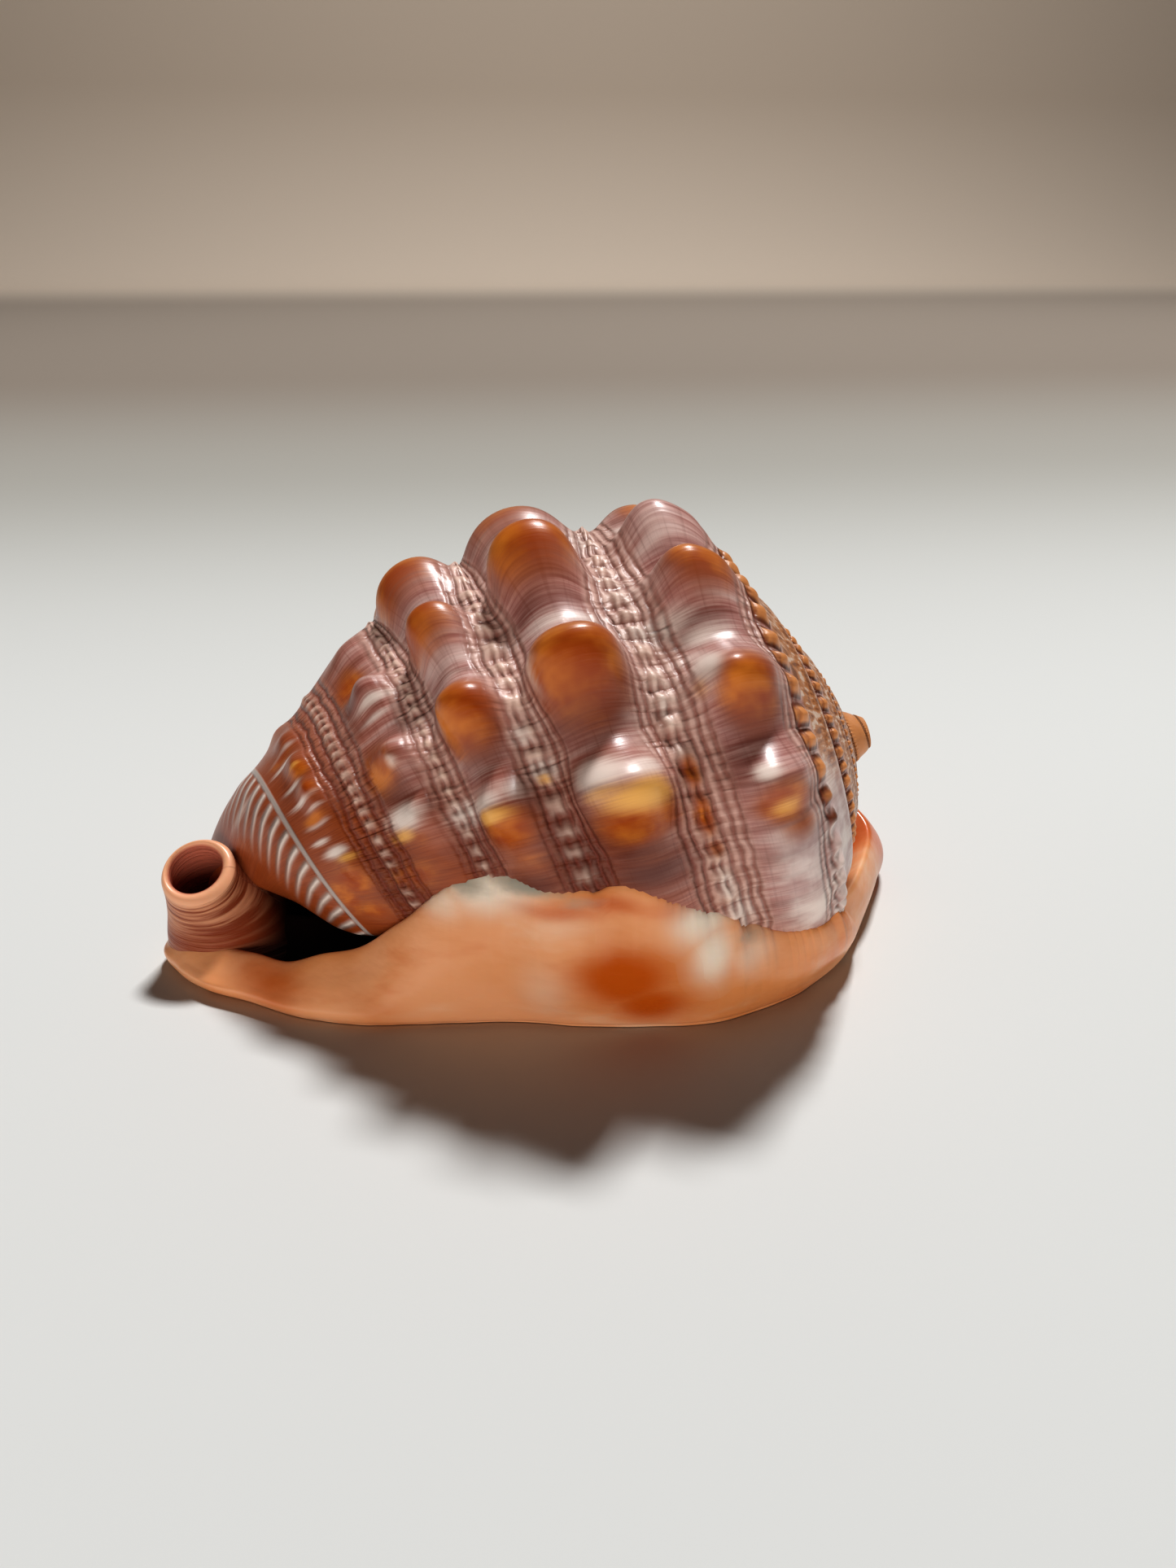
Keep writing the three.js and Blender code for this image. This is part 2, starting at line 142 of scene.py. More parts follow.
# Cords of beads: place along the profile, half width, height and pitch along the whorl, in millimetres
BEAD_CORDS = ((14.0, 2.3, 1.7, 5.6), (37.3, 1.9, 1.5, 4.6), (60.8, 1.7, 1.15, 4.4), (78.4, 1.0, 0.5, 3.2),
              (94.6, 1.0, 0.5, 3.6))
# Share of a cord's height between its beads, and on a knob
BEAD_FLOOR = 0.2
CORDS_ON_KNOBS = 0.2
WHORL_RADIUS = 42.0

# Body whorl: stations, steps along and round it, outside and inside, and thickness of its wall
WHORL_STATIONS, WHORL_STEPS = (1.0, 16.97), 372
OUTER_EDGES, OUTER_STEPS = (SHIELD_ANGLE, 124.0, -30.0, LIP_ANGLE), (8, 192, 40)
INNER_STEPS = 22
WALL_THICKNESS = 5.0
# Spire: how many whorls, how they crowd towards the apex, and how far they stand back under the suture
SPIRE_WHORLS, SPIRE_CROWDING, SPIRE_INSET = 5.2, 1.25, 0.7

# Colours of the spire: where the lilac end, the mottled strip and the nub begin and are full
NEAR_END, LILAC_EDGE = (62.0, 88.0), (22.0, 34.0)
STRIP_EDGE = (10.0, 12.0)
NUB_ANGLES = (1300.0, 1480.0)
# The whorl reddens towards its front: over angles and lengths together, and over lengths alone
RED_ANGLES, RED_LENGTHS, RED_SHARE = (30.0, 78.0), (24.0, 60.0), 0.85
FRONT_LENGTHS, FRONT_SHARE = (74.0, 104.0), 0.95

# Spots of colour: place along the profile, angle, their half widths (millimetres, degrees) and strength
ORANGE_SPOTS = (
    (24.5, 48.5, 4.5, 7.5, 1), (24, 14, 5.5, 9, 0.8), (24, 72.5, 5, 5, 0.9), (22.5, 79, 4, 4, 0.5),
    (49.5, 37.5, 6.5, 9.5, 1), (49, 3, 6, 8, 0.9), (50, -18, 5, 6, 0.5), (48, 68.5, 6.5, 5, 1),
    (48, 76, 6, 4, 0.3), (69.3, 36.5, 5.3, 8.5, 1), (70, 7, 5, 8, 0.9), (70, -17, 5, 7, 0.8),
    (69.5, 63, 5, 4.5, 1), (69, 71, 5, 5, 0.4), (88, 35.5, 3.8, 7.5, 1), (87.3, -3, 3.5, 8, 0.9),
    (92, 69, 6, 5, 0.8), (87, 58, 3, 3, 0.5), (102.3, 16, 2.5, 4, 1), (102.5, 26.5, 2.5, 4, 0.9),
    (104.5, 38, 3, 3, 0.9), (105, 0, 3, 4, 0.8), (104, 66, 5, 8, 0.9), (104, 80, 5, 6, 0.7),
    (107.5, 72, 3, 12, 0.8), (37.2, 61, 2, 5, 0.8), (37.2, 71, 2, 6, 0.9), (37, 80, 2, 3, 0.5),
)
# The same on the crests of the far side: place along the profile of each row, then offset and size
CREST_PLACES = {"rowA": 24.5, "rowB": 49.5, "rowC": 69.5, "rowD": 86.5, "rowE": 103.0}
CREST_FROM, CREST_SPOT = -25.0, (3.0, 4.5, 7.0, 0.75)
# A spot ends where it is fainter than this
SPOT_FAINTEST = 0.06
# Pale patches of the shell, mixed with painted highlights on knob tops and painted light on upper, lit faces
PALE_AND_HIGHLIGHT_SPOTS = (
    (29, 41, 3, 4.5, 1), (31, 36.5, 4.5, 3, 0.5), (26, 65, 2.2, 2.2, 0.9), (33, 26, 8, 3, 0.6),
    (45, 20, 5, 4, 0.5), (53.8, 34, 1.8, 6, 0.9), (51.5, 57, 4, 3.5, 1), (46, 58, 4, 2.5, 0.7),
    (51, -11, 4, 4, 0.5), (44, 73, 3, 2, 0.3), (73, 34, 1.6, 4, 0.6), (77, 56, 4, 4, 0.9),
    (71, 55.5, 4, 2.5, 0.9), (66, 55, 3, 3, 0.6), (70, 48, 6, 2, 0.35), (84.9, 36.5, 1.4, 2, 0.9),
    (87.5, 51.5, 4.5, 4.5, 1), (84, 13, 4.5, 1.6, 0.8), (85, 17.5, 4, 1.3, 0.7),
    (104, 53, 3.2, 2.6, 0.9), (104.5, 40, 3, 1.6, 0.8), (105, 6, 4, 1.6, 0.8), (104, -2, 4, 1.6, 0.7),
    (104.5, 29, 4, 1.6, 0.9), (105.5, 20, 3, 1.4, 0.8), (103, 34, 3, 1.2, 0.6),
    (106, 47, 2.5, 1.6, 0.8), (37.5, 46, 1.5, 5, 0.8), (37.8, 56, 1.6, 3, 0.6), (36, 101, 3, 8, 0.8),
    (37, 90, 2, 6, 0.8), (62, 43, 2.5, 3, 0.7), (60.7, 52, 3, 3.5, 0.9), (40, -15, 3, 6, 0.6),
    (20, 108, 9, 10, 0.6), (9, 98, 5, 9, 0.6), (29, -20, 4, 6, 0.5), (118, 3, 6, 5, 0.5),
    (10, 72, 3, 9, 0.5), (44, 51, 4, 2, 0.4), (27, 60, 5, 2, 0.35), (50, 20, 6, 4, 0.6),
    (37, 42, 6, 16, 0.35), (27, 31, 6, 4, 0.7), (60, 40, 5, 14, 0.3), (30, -5, 12, 10, 0.3),
    (69, 22, 4, 4, 0.4), (36, 10, 6, 14, 0.45), (34, 26, 7, 4, 0.8), (43, 50, 4, 10, 0.4),
    (37, 42, 6, 12, 0.45), (43, 33, 3, 12, 0.3), (36, 70, 5, 10, 0.25),
)
GOLD_SPOTS = (
    (47, 63, 5, 3, 1), (51, 61, 3, 2, 0.6), (24, 12, 4, 5, 0.35), (49, 32, 3, 2.5, 0.35),
    (70.5, 59, 3.5, 2, 1), (89.5, 56, 3, 2.5, 0.8), (31, 45, 1.6, 3, 0.4), (24.5, 73.5, 3, 3, 0.7),
    (102, 56.5, 3, 2, 0.7), (61, 54, 1.6, 1.6, 0.8), (102.5, 14, 1.6, 1.2, 0.6),
)
# Painted shade on the lower flanks of the knobs and the lower near side of the whorl, in the same form
PAINTED_SHADE_SPOTS = (
    (49.5, 45, 7, 5, 0.95), (25, 54, 5, 5, 0.9), (69, 45, 5, 5, 0.7), (49, 80, 8, 5, 0.9),
    (25, 28, 5, 3, 0.4), (87.5, 43, 4, 4, 0.8), (24, 84, 4, 4, 0.4), (70, 78, 6, 5, 0.7),
    (61.5, 66, 4, 9, 0.8), (49.5, 75, 6, 4, 0.9), (88, 7, 3, 4, 0.5), (60, 75, 6, 14, 0.9),
    (95, 70, 5, 14, 0.7), (78, 66, 4, 10, 0.6), (50, 72, 7, 4, 0.6),
)

# Base and shield around the shell: rim x and y, margin x, y and z, floor z, margin thickness
BASE = np.array([
    (-70, -3.6, -67, -3, 6, 3, 7), (-67, -11.4, -62.5, -8, 8, 3, 7), (-61.4, -17.2, -58, -12.5, 7.5, 2, 5),
    (-54, -21.5, -52, -17, 7.5, 1.5, 3), (-46.7, -26.2, -46, -20.5, 8, 1.5, 3),
    (-39.8, -29, -39.5, -22.5, 9.5, 1.5, 3), (-33, -30.8, -33, -23.5, 12.5, 2, 4),
    (-26.5, -31.4, -26.5, -26.5, 17.5, 6, 6), (-18.5, -32, -19, -30.5, 25.5, 12, 7),
    (-8, -33, -9, -34, 28, 12, 7), (2, -35.4, 0, -38.3, 28, 12, 7), (13.5, -36.9, 12, -40.5, 28, 12, 7),
    (24.5, -37.2, 22, -39, 23.5, 12, 7), (35, -34, 34, -34.5, 14.5, 10, 7),
    (43.4, -29.7, 43, -33, 13, 9, 5), (52, -22, 51.5, -25.5, 12.5, 8, 4), (59, -11, 58, -14, 12, 7, 4),
    (65, 0, 62.5, -2, 12, 7, 4), (70.6, 12, 65.5, 9, 13, 7, 4.5), (66, 24, 60.5, 20.5, 15, 8, 6),
    (56, 34, 54, 31, 16, 8, 7), (42, 42, 41, 40, 18, 8, 7), (24, 47, 24, 45.5, 20, 8, 7),
    (4, 49, 4, 47.5, 20, 8, 7), (-16, 46, -16, 44.5, 20, 8, 7), (-34, 37, -34, 35.5, 17, 7, 7),
    (-50, 25, -50, 23, 13, 6, 7), (-63, 10, -61, 8, 9, 5, 7),
], float)
# Spots of colour on the near side of the shield: x, z, their half widths in millimetres and strength
SHIELD_ORANGE = ((8, 12, 8, 7, 1), (13, 6, 7, 5, 0.9), (-2, 24.5, 9, 2, 0.6), (6, 26, 5, 1.6, 0.7),
                 (17, 25.5, 5, 3, 0.5), (-25, 27, 6, 4, 0.6), (47, 7, 7, 4, 0.5), (-50, 5, 8, 5, 0.7),
                 (-30, 4, 9, 4, 0.35))
SHIELD_CREAM = ((-13, 27, 8, 5, 1), (21, 23, 6, 5, 1), (23, 16, 4, 6, 0.8), (-4, 9, 6, 9, 0.4),
                (30, 14, 5, 4, 0.5), (-20, 24, 5, 4, 0.7), (-2, 22, 7, 4, 0.4))
SHIELD_GREY = ((-7, 28.5, 8, 2.5, 0.9), (-15, 27, 5, 2.5, 0.8), (22, 24, 3, 3, 0.5), (30, 17, 5, 2, 0.6),
               (2, 26, 4, 1.5, 0.5))
# Base: steps round it and round its section, height of its rim's edge, and bulge of its face
BASE_COLUMNS, BASE_ROWS = 560, 150
RIM_HEIGHT = 3.0
FACE_BULGE = 1.6
# Its margin lies on the whorl by this share between these X, and wavers by this much
MARGIN_FIT, MARGIN_RISE, MARGIN_FALL = 0.9, (-26.0, -14.0), (56.0, 64.0)
MARGIN_WAVER = 0.9
# The slit: its ends, half width, share of the base's places on its near side, and teeth
SLIT_ENDS = np.array([(-49.0, -3.5), (48.0, 8.0)])
SLIT_HALF_WIDTH = 4.4
SLIT_NEAR_SHARE = 0.62
TOOTH_COUNT, TOOTH_HEIGHT = 22, 1.2
# The front gap's inside, near black as painted shade, and the darker peach behind the spire
GAP_TURN, GAP_RIGHT, GAP_LEFT = (7.5, 8.4), (-22.0, -30.0), (-68.0, -60.0)
BEHIND_X, BEHIND_Y = (54.0, 62.0), (-4.0, 6.0)
GAP_SHADE_COLOUR = "#0c0302"

# Sections of the turned-up canal: centre, radius along X, radius along Y, axis
CANAL = np.array([
    (-55.0, -3.5, 2.0, 14.5, 10.0, 0, 0, 1), (-57.0, -3.8, 6.5, 12.2, 9.2, 0, -0.1, 1),
    (-59.7, -4.0, 11.5, 9.0, 7.9, -0.1, -0.25, 0.95), (-61.5, -4.8, 15.6, 7.0, 6.9, -0.15, -0.45, 0.86),
    (-62.0, -5.5, 18.4, 6.6, 6.5, -0.15, -0.55, 0.82),
], float)
# Wall of the canal: thinnest, what the thick side adds, and where that side is
CANAL_WALL = (1.1, 1.6)
CANAL_THICK_SIDE = np.radians(-50.0)
CANAL_COLUMNS, CANAL_ROWS = 240, 120
EDGE_STEPS, EDGE_ROLL = 8, 0.8
BORE_END = 0.6
# Millimetres along and round its wall, and the shaded root's X in metres
CANAL_SECTION_LENGTH, CANAL_RADIUS = 5.0, 6.0
CANAL_ROOT = (-0.055, -0.0475)

# How far light goes into the enamel, as shares for red, green and blue
GLOW_RADIUS = (1.0, 0.45, 0.2)

# Table in metres: half width, front, start of the bend behind, radius of the bend, and top
TABLE_HALF, TABLE_FRONT, TABLE_BACK, TABLE_BEND, TABLE_TOP = 4.0, -3.0, 3.2, 0.5, 4.0
# Lights: name, place and size in metres, power in watts, and colour
WINDOW = ("window", (0.8, 1.75, 3.45), 0.65, 0.55, 144.0, "#ffffff")
FILL = ("fill", (-0.4, -1.8, 0.3), 2.6, 0.6, 19.0, "#fffaf5")
SKY_COLOUR, SKY_STRENGTH = "#efe9e2", 0.07
LIGHT_AIM = (0.0, 0.0, 0.03)


def smooth(low, high, value):
    """Zero below low and one above high; between them 3 s ^ 2 - 2 s ^ 3, with s the share of the way."""
    share = np.clip((value - low) / (high - low), 0.0, 1.0)
    return share * share * (3.0 - 2.0 * share)


def soft_above(limit, softness, value):
    """The larger of two with a round corner: limit + (over + root(over ^ 2 + softness ^ 2)) / 2."""
    over = value - limit
    return limit + 0.5 * (over + np.sqrt(over * over + softness ** 2))


def spline(points, place, closed=False):
    """Catmull-Rom curve: cubics between points, each slope half the chord of a point's neighbours.

    place counts the points from zero.
    """
    count = len(points)
    start = np.floor(place).astype(int)
    if not closed:
        start = np.clip(start, 0, count - 2)
    share = (place - start).reshape(np.shape(place) + (1,) * (points.ndim - 1))
    steps = [start + offset for offset in (-1, 0, 1, 2)]
    wrap = (lambda index: index % count) if closed else (lambda index: np.clip(index, 0, count - 1))
    before, first, second, after = (points[wrap(step)] for step in steps)
    slope_in = (second - before) / 2.0
    slope_out = (after - first) / 2.0
    cubic = 2.0 * first - 2.0 * second + slope_in + slope_out
    square = -3.0 * first + 3.0 * second - 2.0 * slope_in - slope_out
    return ((cubic * share + square) * share + slope_in) * share + first


def profile_points(growth):
    """Height and radius at each station: the axis, the suture on the older whorl, and the outline."""
    suture = np.array(WHORL_FOOT) / growth
    return np.vstack([(suture[0], 0.0), suture, OUTLINE])


def profile_lengths(profile):
    """Distance along the profile from the suture to each station."""
    fine = spline(profile, np.linspace(0, len(profile) - 1, 1601))
    steps = np.concatenate([[0.0], np.cumsum(np.hypot(*np.diff(fine, axis=0).T))])
    at_stations = steps[:: 1600 // (len(profile) - 1)]
    return at_stations - at_stations[STATIONS.index("suture")]


def on_spiral(growth, height, radius, angle):
    """Point = apex - (scale * height + dip) * axis + scale * radius * outward, where scale = growth ^ -turns.

    The growth stops softly before the lip, the spire dips round the nub, and nothing goes into the table.
    """
    scale = growth ** (-soft_above(GROWTH_END, GROWTH_SOFTNESS, angle) / 360.0)
    turn = np.radians(angle)
    outward = np.cos(turn)[..., None] * BACK + np.sin(turn)[..., None] * NEAR
    dip = NUB_DEPTH * smooth(*NUB_FOOT, scale * radius) * np.exp(-scale * radius / NUB_REACH)
    points = APEX - (scale * height + dip)[..., None] * AXIS + (scale * radius)[..., None] * outward
    points[..., 2] = soft_above(TABLE_CLEARANCE, TABLE_SOFTNESS, points[..., 2])
    return points - CENTRE


def knob_field(profile, height, radius, angle):
    """Height of the rows, and how much of it is knob.

    A row is exp(-(distance / width) ^ 2) across, times a low band and knobs of the same form along it.
    """
    raised = np.zeros_like(height)
    knobs = np.zeros_like(height)
    for name, tall, across, along, last, places in KNOB_ROWS:
        row_height, row_radius = profile[STATIONS.index(name)]
        knob = np.zeros_like(angle)
        for place, share in places:
            past = np.radians(angle - place) * row_radius
            width = np.where(past > 0.0, along * KNOB_TAIL, along)
            knob = np.maximum(knob, share * np.exp(-(past / width) ** 2))
        off = np.hypot(height - row_height, radius - row_radius) / across
        kept = (1.0 - smooth(last + ROW_END[0], last + ROW_END[1], angle)) * smooth(*LIP_FADE, angle)
        fade = np.where(angle > OLDER_WHORLS, 1.0, kept)
        band = tall * np.exp(-off ** 2)
        raised += band * (BAND_SHARE + (1.0 - BAND_SHARE) * knob ** KNOB_PEAK) * fade
        knobs = np.maximum(knobs, np.exp(-KNOB_COVER * off ** 2) * knob * fade)
    return raised, knobs


def cord_field(length, arc):
    """How far inside a zone of fine cords a point is, the height of the beads, and how much of it is bead.

    A cord of beads is exp(-(distance / width) ^ 2) across, times a floor and beads along it.
    """
    zone = np.zeros_like(length)
    raised = np.zeros_like(length)
    beads = np.zeros_like(length)
    for middle, half in CORD_ZONES:
        off = np.abs(length - middle)
        zone = np.maximum(zone, 1.0 - smooth(half + ZONE_EDGE[0], half + ZONE_EDGE[1], off))
    for middle, width, tall, pitch in BEAD_CORDS:
        cord = np.exp(-((length - middle) / width) ** 2)
        bead = wavy_beads(arc, middle, pitch)
        raised += tall * cord * (BEAD_FLOOR + (1.0 - BEAD_FLOOR) * bead)
        beads = np.maximum(beads, cord * bead)
    return zone, raised, beads


def spots(first, second, places):
    """Soft spots: each is strongest in its middle and falls off as a bell curve over its half widths."""
    field = np.zeros_like(first)
    for middle, turn, half_first, half_second, strength in places:
        off = ((first - middle) / half_first) ** 2 + ((second - turn) / half_second) ** 2
        field = np.maximum(field, strength * np.exp(-off))
    return field


def far_crests():
    """Spots of colour on the knobs of the far side, in the form of the other spots."""
    shift, half, half_angle, strength = CREST_SPOT
    return tuple((CREST_PLACES[row[0]], place + shift, half, half_angle, strength)
                 for row in KNOB_ROWS for place, _ in row[5] if place < CREST_FROM)


def end_fields(length, arc, angle):
    """Spire colours: mottled strip beside the suture, lilac end of the near side, orange beads and nub."""
    near_end = smooth(*NEAR_END, angle) * (angle < OLDER_WHORLS)
    strip = 1.0 - smooth(*STRIP_EDGE, length)
    lilac = near_end * (1.0 - smooth(*LILAC_EDGE, length))
    middle, width, _, pitch = BEAD_CORDS[0]
    cord = 1.0 - smooth(0.7 * width, 1.2 * width, np.abs(length - middle))
    beads = cord * (0.01 + wavy_beads(arc, middle, pitch))
    beads = np.maximum(beads, 0.6 * smooth(*NUB_ANGLES, angle))
    return np.stack([strip * (1.0 - near_end), lilac, beads * (1.0 - near_end)], axis=-1)


def wavy_beads(arc, middle, pitch):
    """Beads along a cord: 0.5 + 0.5 cos(2 pi shifted / pitch), shifted so that the pitch is uneven."""
    shifted = arc + 0.5 * np.sin(0.41 * arc + middle)
    return 0.5 + 0.5 * np.cos(2.0 * np.pi * shifted / pitch)


def shade_fields(length, angle):
    """Painted shade under the knobs, the red of the front, and the strip of ribs."""
    red = RED_SHARE * smooth(*RED_ANGLES, angle) * smooth(*RED_LENGTHS, length)
    red = red * (angle < OLDER_WHORLS) + FRONT_SHARE * smooth(*FRONT_LENGTHS, length)
    red = np.minimum(1.0, red)
    ribs = smooth(*RIB_RISE, length) * (1.0 - smooth(*RIB_FALL, length))
    return np.stack([spots(length, angle, PAINTED_SHADE_SPOTS), red, ribs], axis=-1)


def flare(height, angle):
    """Extra height of the far side of the back: a plateau over its angles times one over its heights."""
    turned = smooth(*FLARE_RISE, angle) * (1.0 - smooth(*FLARE_FALL, angle))
    high = smooth(*FLARE_HEIGHTS[:2], height) * (1.0 - smooth(*FLARE_HEIGHTS[2:], height))
    return FLARE_SIZE * turned * high


def sunk(station, angle):
    """Depth by which the last whorl sinks under the shield, past the angle of its margin at that station."""
    start = np.interp(station, SHIELD_MARGIN[:, 0], SHIELD_MARGIN[:, 1])
    return SUNK_DEPTH * np.where(angle > OLDER_WHORLS, 0.0, smooth(start, start + SUNK_OVER, angle))


def whorl_surface(settings, station, angle, inset):
    """Outer surface of a whorl: profile(station) + relief * normal, wound on the spiral.

    The relief is the knobs, the cords where no knob is, and the flare, less what is sunk and the inset.
    """
    growth = settings.growth
    profile = profile_points(growth)
    place = spline(profile, station)
    ahead = spline(profile, station + PROFILE_STEP) - spline(profile, station - PROFILE_STEP)
    normal = np.stack([-ahead[..., 1], ahead[..., 0]], axis=-1)
    normal /= np.linalg.norm(normal, axis=-1, keepdims=True) + 1e-9
    height, radius = place[..., 0], place[..., 1]
    length = np.interp(station, np.arange(len(profile)), profile_lengths(profile))
    arc = np.radians(angle) * WHORL_RADIUS
    rows, knobs = knob_field(profile, height, radius, angle)
    zone, cords, beads = cord_field(length, arc)
    cords = cords * (1.0 - (1.0 - CORDS_ON_KNOBS) * knobs)
    relief = settings.knob_size * rows + settings.cord_size * cords + flare(height, angle)
    relief = (relief - sunk(station, angle) - inset) * np.minimum(1.0, radius / AXIS_FADE)
    points = on_spiral(growth, height + normal[..., 0] * relief,
                       np.maximum(0.0, radius + normal[..., 1] * relief), angle)
    fields = {
        "grow": np.stack([length, arc, np.zeros_like(angle)], axis=-1),
        "relief": np.stack([zone * (1.0 - knobs), beads, knobs], axis=-1),
        "tint": np.stack([spots(length, angle, places)
                          for places in (ORANGE_SPOTS + far_crests(), PALE_AND_HIGHLIGHT_SPOTS, GOLD_SPOTS)], axis=-1),
        "end": end_fields(length, arc, angle),
        "shade": shade_fields(length, angle),
    }
    return points, fields


def grid_faces(rows, columns, closed_rows):
    """Quads of a grid whose columns go round; its rows go round too or end open."""
    row = np.arange(rows if closed_rows else rows - 1)[:, None]
    column = np.arange(columns)[None, :]
    next_row = (row + 1) % rows
    next_column = (column + 1) % columns
    corners = [row * columns + column, row * columns + next_column,
               next_row * columns + next_column, next_row * columns + column]
    return np.stack(np.broadcast_arrays(*corners), axis=-1).reshape(-1, 4)


def fan_faces(ring, pole):
    """Triangles from each side of a ring to a pole."""
    return np.stack([ring, np.roll(ring, -1), np.full_like(ring, pole)], axis=-1)


def make_piece(name, points, fields, closed_rows):
    """Closed smooth mesh from a grid of points in millimetres, with its fields as point attributes."""
    rows, columns = points.shape[:2]
    vertices = points.reshape(-1, 3)
    values = {key: value.reshape(-1, 3) for key, value in fields.items()}
    quads = grid_faces(rows, columns, closed_rows)
    faces = [quads]
    if not closed_rows:
        first = np.arange(columns)
        last = first + (rows - 1) * columns
        poles = len(vertices)
        vertices = np.vstack([vertices, points[0].mean(axis=0), points[-1].mean(axis=0)])
        for key, value in fields.items():
            values[key] = np.vstack([values[key], value[0].mean(axis=0), value[-1].mean(axis=0)])
        faces.append(fan_faces(first, poles)[:, ::-1])
        faces.append(fan_faces(last, poles + 1))
    corner = [vertices[faces[0][:, index]] for index in range(4)]
    middle = sum(corner) / 4.0
    normals = np.cross(corner[2] - corner[0], corner[3] - corner[1])
    if (normals * middle).sum() < 0.0:
        faces = [face[:, ::-1] for face in faces]
    return mesh_object(name, vertices * MM, faces, values)


def mesh_object(name, vertices, faces, values):
    """Smooth mesh object from vertices, arrays of faces and point attributes."""
    mesh = bpy.data.meshes.new(name)
    totals = np.concatenate([np.full(len(face), face.shape[1]) for face in faces])
    mesh.vertices.add(len(vertices))
    mesh.loops.add(int(totals.sum()))
    mesh.polygons.add(len(totals))
    mesh.vertices.foreach_set("co", np.ascontiguousarray(vertices, dtype=np.float32).ravel())
    corners = np.concatenate([face.ravel() for face in faces])
    starts = np.concatenate([[0], np.cumsum(totals)[:-1]])
    mesh.loops.foreach_set("vertex_index", corners.astype(np.int32))
    mesh.polygons.foreach_set("loop_start", starts.astype(np.int32))
    mesh.polygons.foreach_set("loop_total", totals.astype(np.int32))
    mesh.update(calc_edges=True)
    if mesh.validate():
        raise RuntimeError(name + " has broken faces")
    mesh.shade_smooth()
    for key, value in values.items():
        layer = mesh.attributes.new(key, "FLOAT_VECTOR", "POINT")
        layer.data.foreach_set("vector", np.ascontiguousarray(value, dtype=np.float32).ravel())
    piece = bpy.data.objects.new(name, mesh)
    bpy.context.scene.collection.objects.link(piece)
    return piece


def spread(edges, counts):
    """Values that run through edges, with counts steps in each stretch."""
    parts = [np.linspace(a, b, n, endpoint=False) for a, b, n in zip(edges[:-1], edges[1:], counts)]
    return np.concatenate(parts + [[edges[-1]]])


def body_whorl(settings):
    """The last whorl as a double wall: out from the shield over the back to the lip, and back inside."""
    outer = spread(OUTER_EDGES, OUTER_STEPS)
    inner = np.linspace(LIP_ANGLE, SHIELD_ANGLE, INNER_STEPS)
    angles = np.concatenate([outer, inner])
    inside = np.concatenate([np.zeros(len(outer)), np.ones(len(inner))])
    station = np.linspace(*WHORL_STATIONS, WHORL_STEPS)[:, None] + np.zeros(len(angles))
    angle = angles[None, :] + np.zeros_like(station)
    points, fields = whorl_surface(settings, station, angle, 0.0)
    wall = inside[None, :] * np.minimum(1.0, (station - WHORL_STATIONS[0]) / 2.0)
    thin, _ = whorl_surface(settings, station, angle, WALL_THICKNESS)
    points = points + wall[..., None] * (thin - points)
    return make_piece("body_whorl", points, fields, closed_rows=False)


def spire(settings):
    """The older whorls: a line runs from the shoulder of one whorl to the suture and on to the next."""
    columns, rows = 320, 290
    turn = np.linspace(-0.5, 0.5, columns, endpoint=False)[None, :]
    along = np.linspace(0.0, 1.0, rows)[:, None] ** SPIRE_CROWDING
    whorl = 1.0 + SPIRE_WHORLS * along - turn - 0.5
    count = np.floor(whorl)
    share = whorl - count
    station = WHORL_TOP_STATION * (1.0 - share) + STATIONS.index("suture") * share
    angle = 360.0 * (count + turn)
    inset = np.where(angle < OLDER_WHORLS, SPIRE_INSET, 0.0)
    points, fields = whorl_surface(settings, station, angle, inset)
    return make_piece("spire", points, fields, closed_rows=False)


def slit_edge(place, count):
    """Slit outline for each place round the base, near side first: with teeth, and without.

    Point = middle + side * width * across, where the width follows 4 root(s (1 - s)), with s the share along.
    """
    share = place / count
    near = share < SLIT_NEAR_SHARE
    along = np.where(near, share / SLIT_NEAR_SHARE, (1.0 - share) / (1.0 - SLIT_NEAR_SHARE))
    along = np.clip(along, 0.004, 0.996)
    axis = SLIT_ENDS[1] - SLIT_ENDS[0]
    across = np.array([-axis[1], axis[0]]) / np.hypot(*axis)
    width = SLIT_HALF_WIDTH * np.minimum(1.0, 4.0 * np.sqrt(along * (1.0 - along)))
    tooth = 0.5 - 0.5 * np.cos(2.0 * np.pi * along * TOOTH_COUNT)
    side = np.where(near, -1.0, 1.0)
    middle = SLIT_ENDS[0] + along[..., None] * axis
    toothed = middle + (side * (width - TOOTH_HEIGHT * tooth))[..., None] * across
    return toothed, middle + (side * width)[..., None] * across


def near_whorl(settings):
    """Points of the body whorl on the near side, in millimetres before centring."""
    station = np.linspace(3.0, 14.0, 170)[:, None] + np.zeros(120)
    angle = np.linspace(40.0, 138.0, 120)[None, :] + np.zeros((170, 1))
    points, _ = whorl_surface(settings, station, angle, 0.0)
    return (points + CENTRE).reshape(-1, 3)


def lay_on_whorl(margin, whorl):
    """Moves the near part of the margin onto the closest point of the whorl."""
    apart = ((margin[:, None, :] - whorl[None, :, :]) ** 2).sum(axis=-1)
    closest = whorl[np.argmin(apart, axis=1)]
    share = smooth(*MARGIN_RISE, margin[:, 0]) * (1.0 - smooth(*MARGIN_FALL, margin[:, 0]))
    share = share * (margin[:, 1] < 0.0)
    return margin + (MARGIN_FIT * share)[:, None] * (closest - margin)


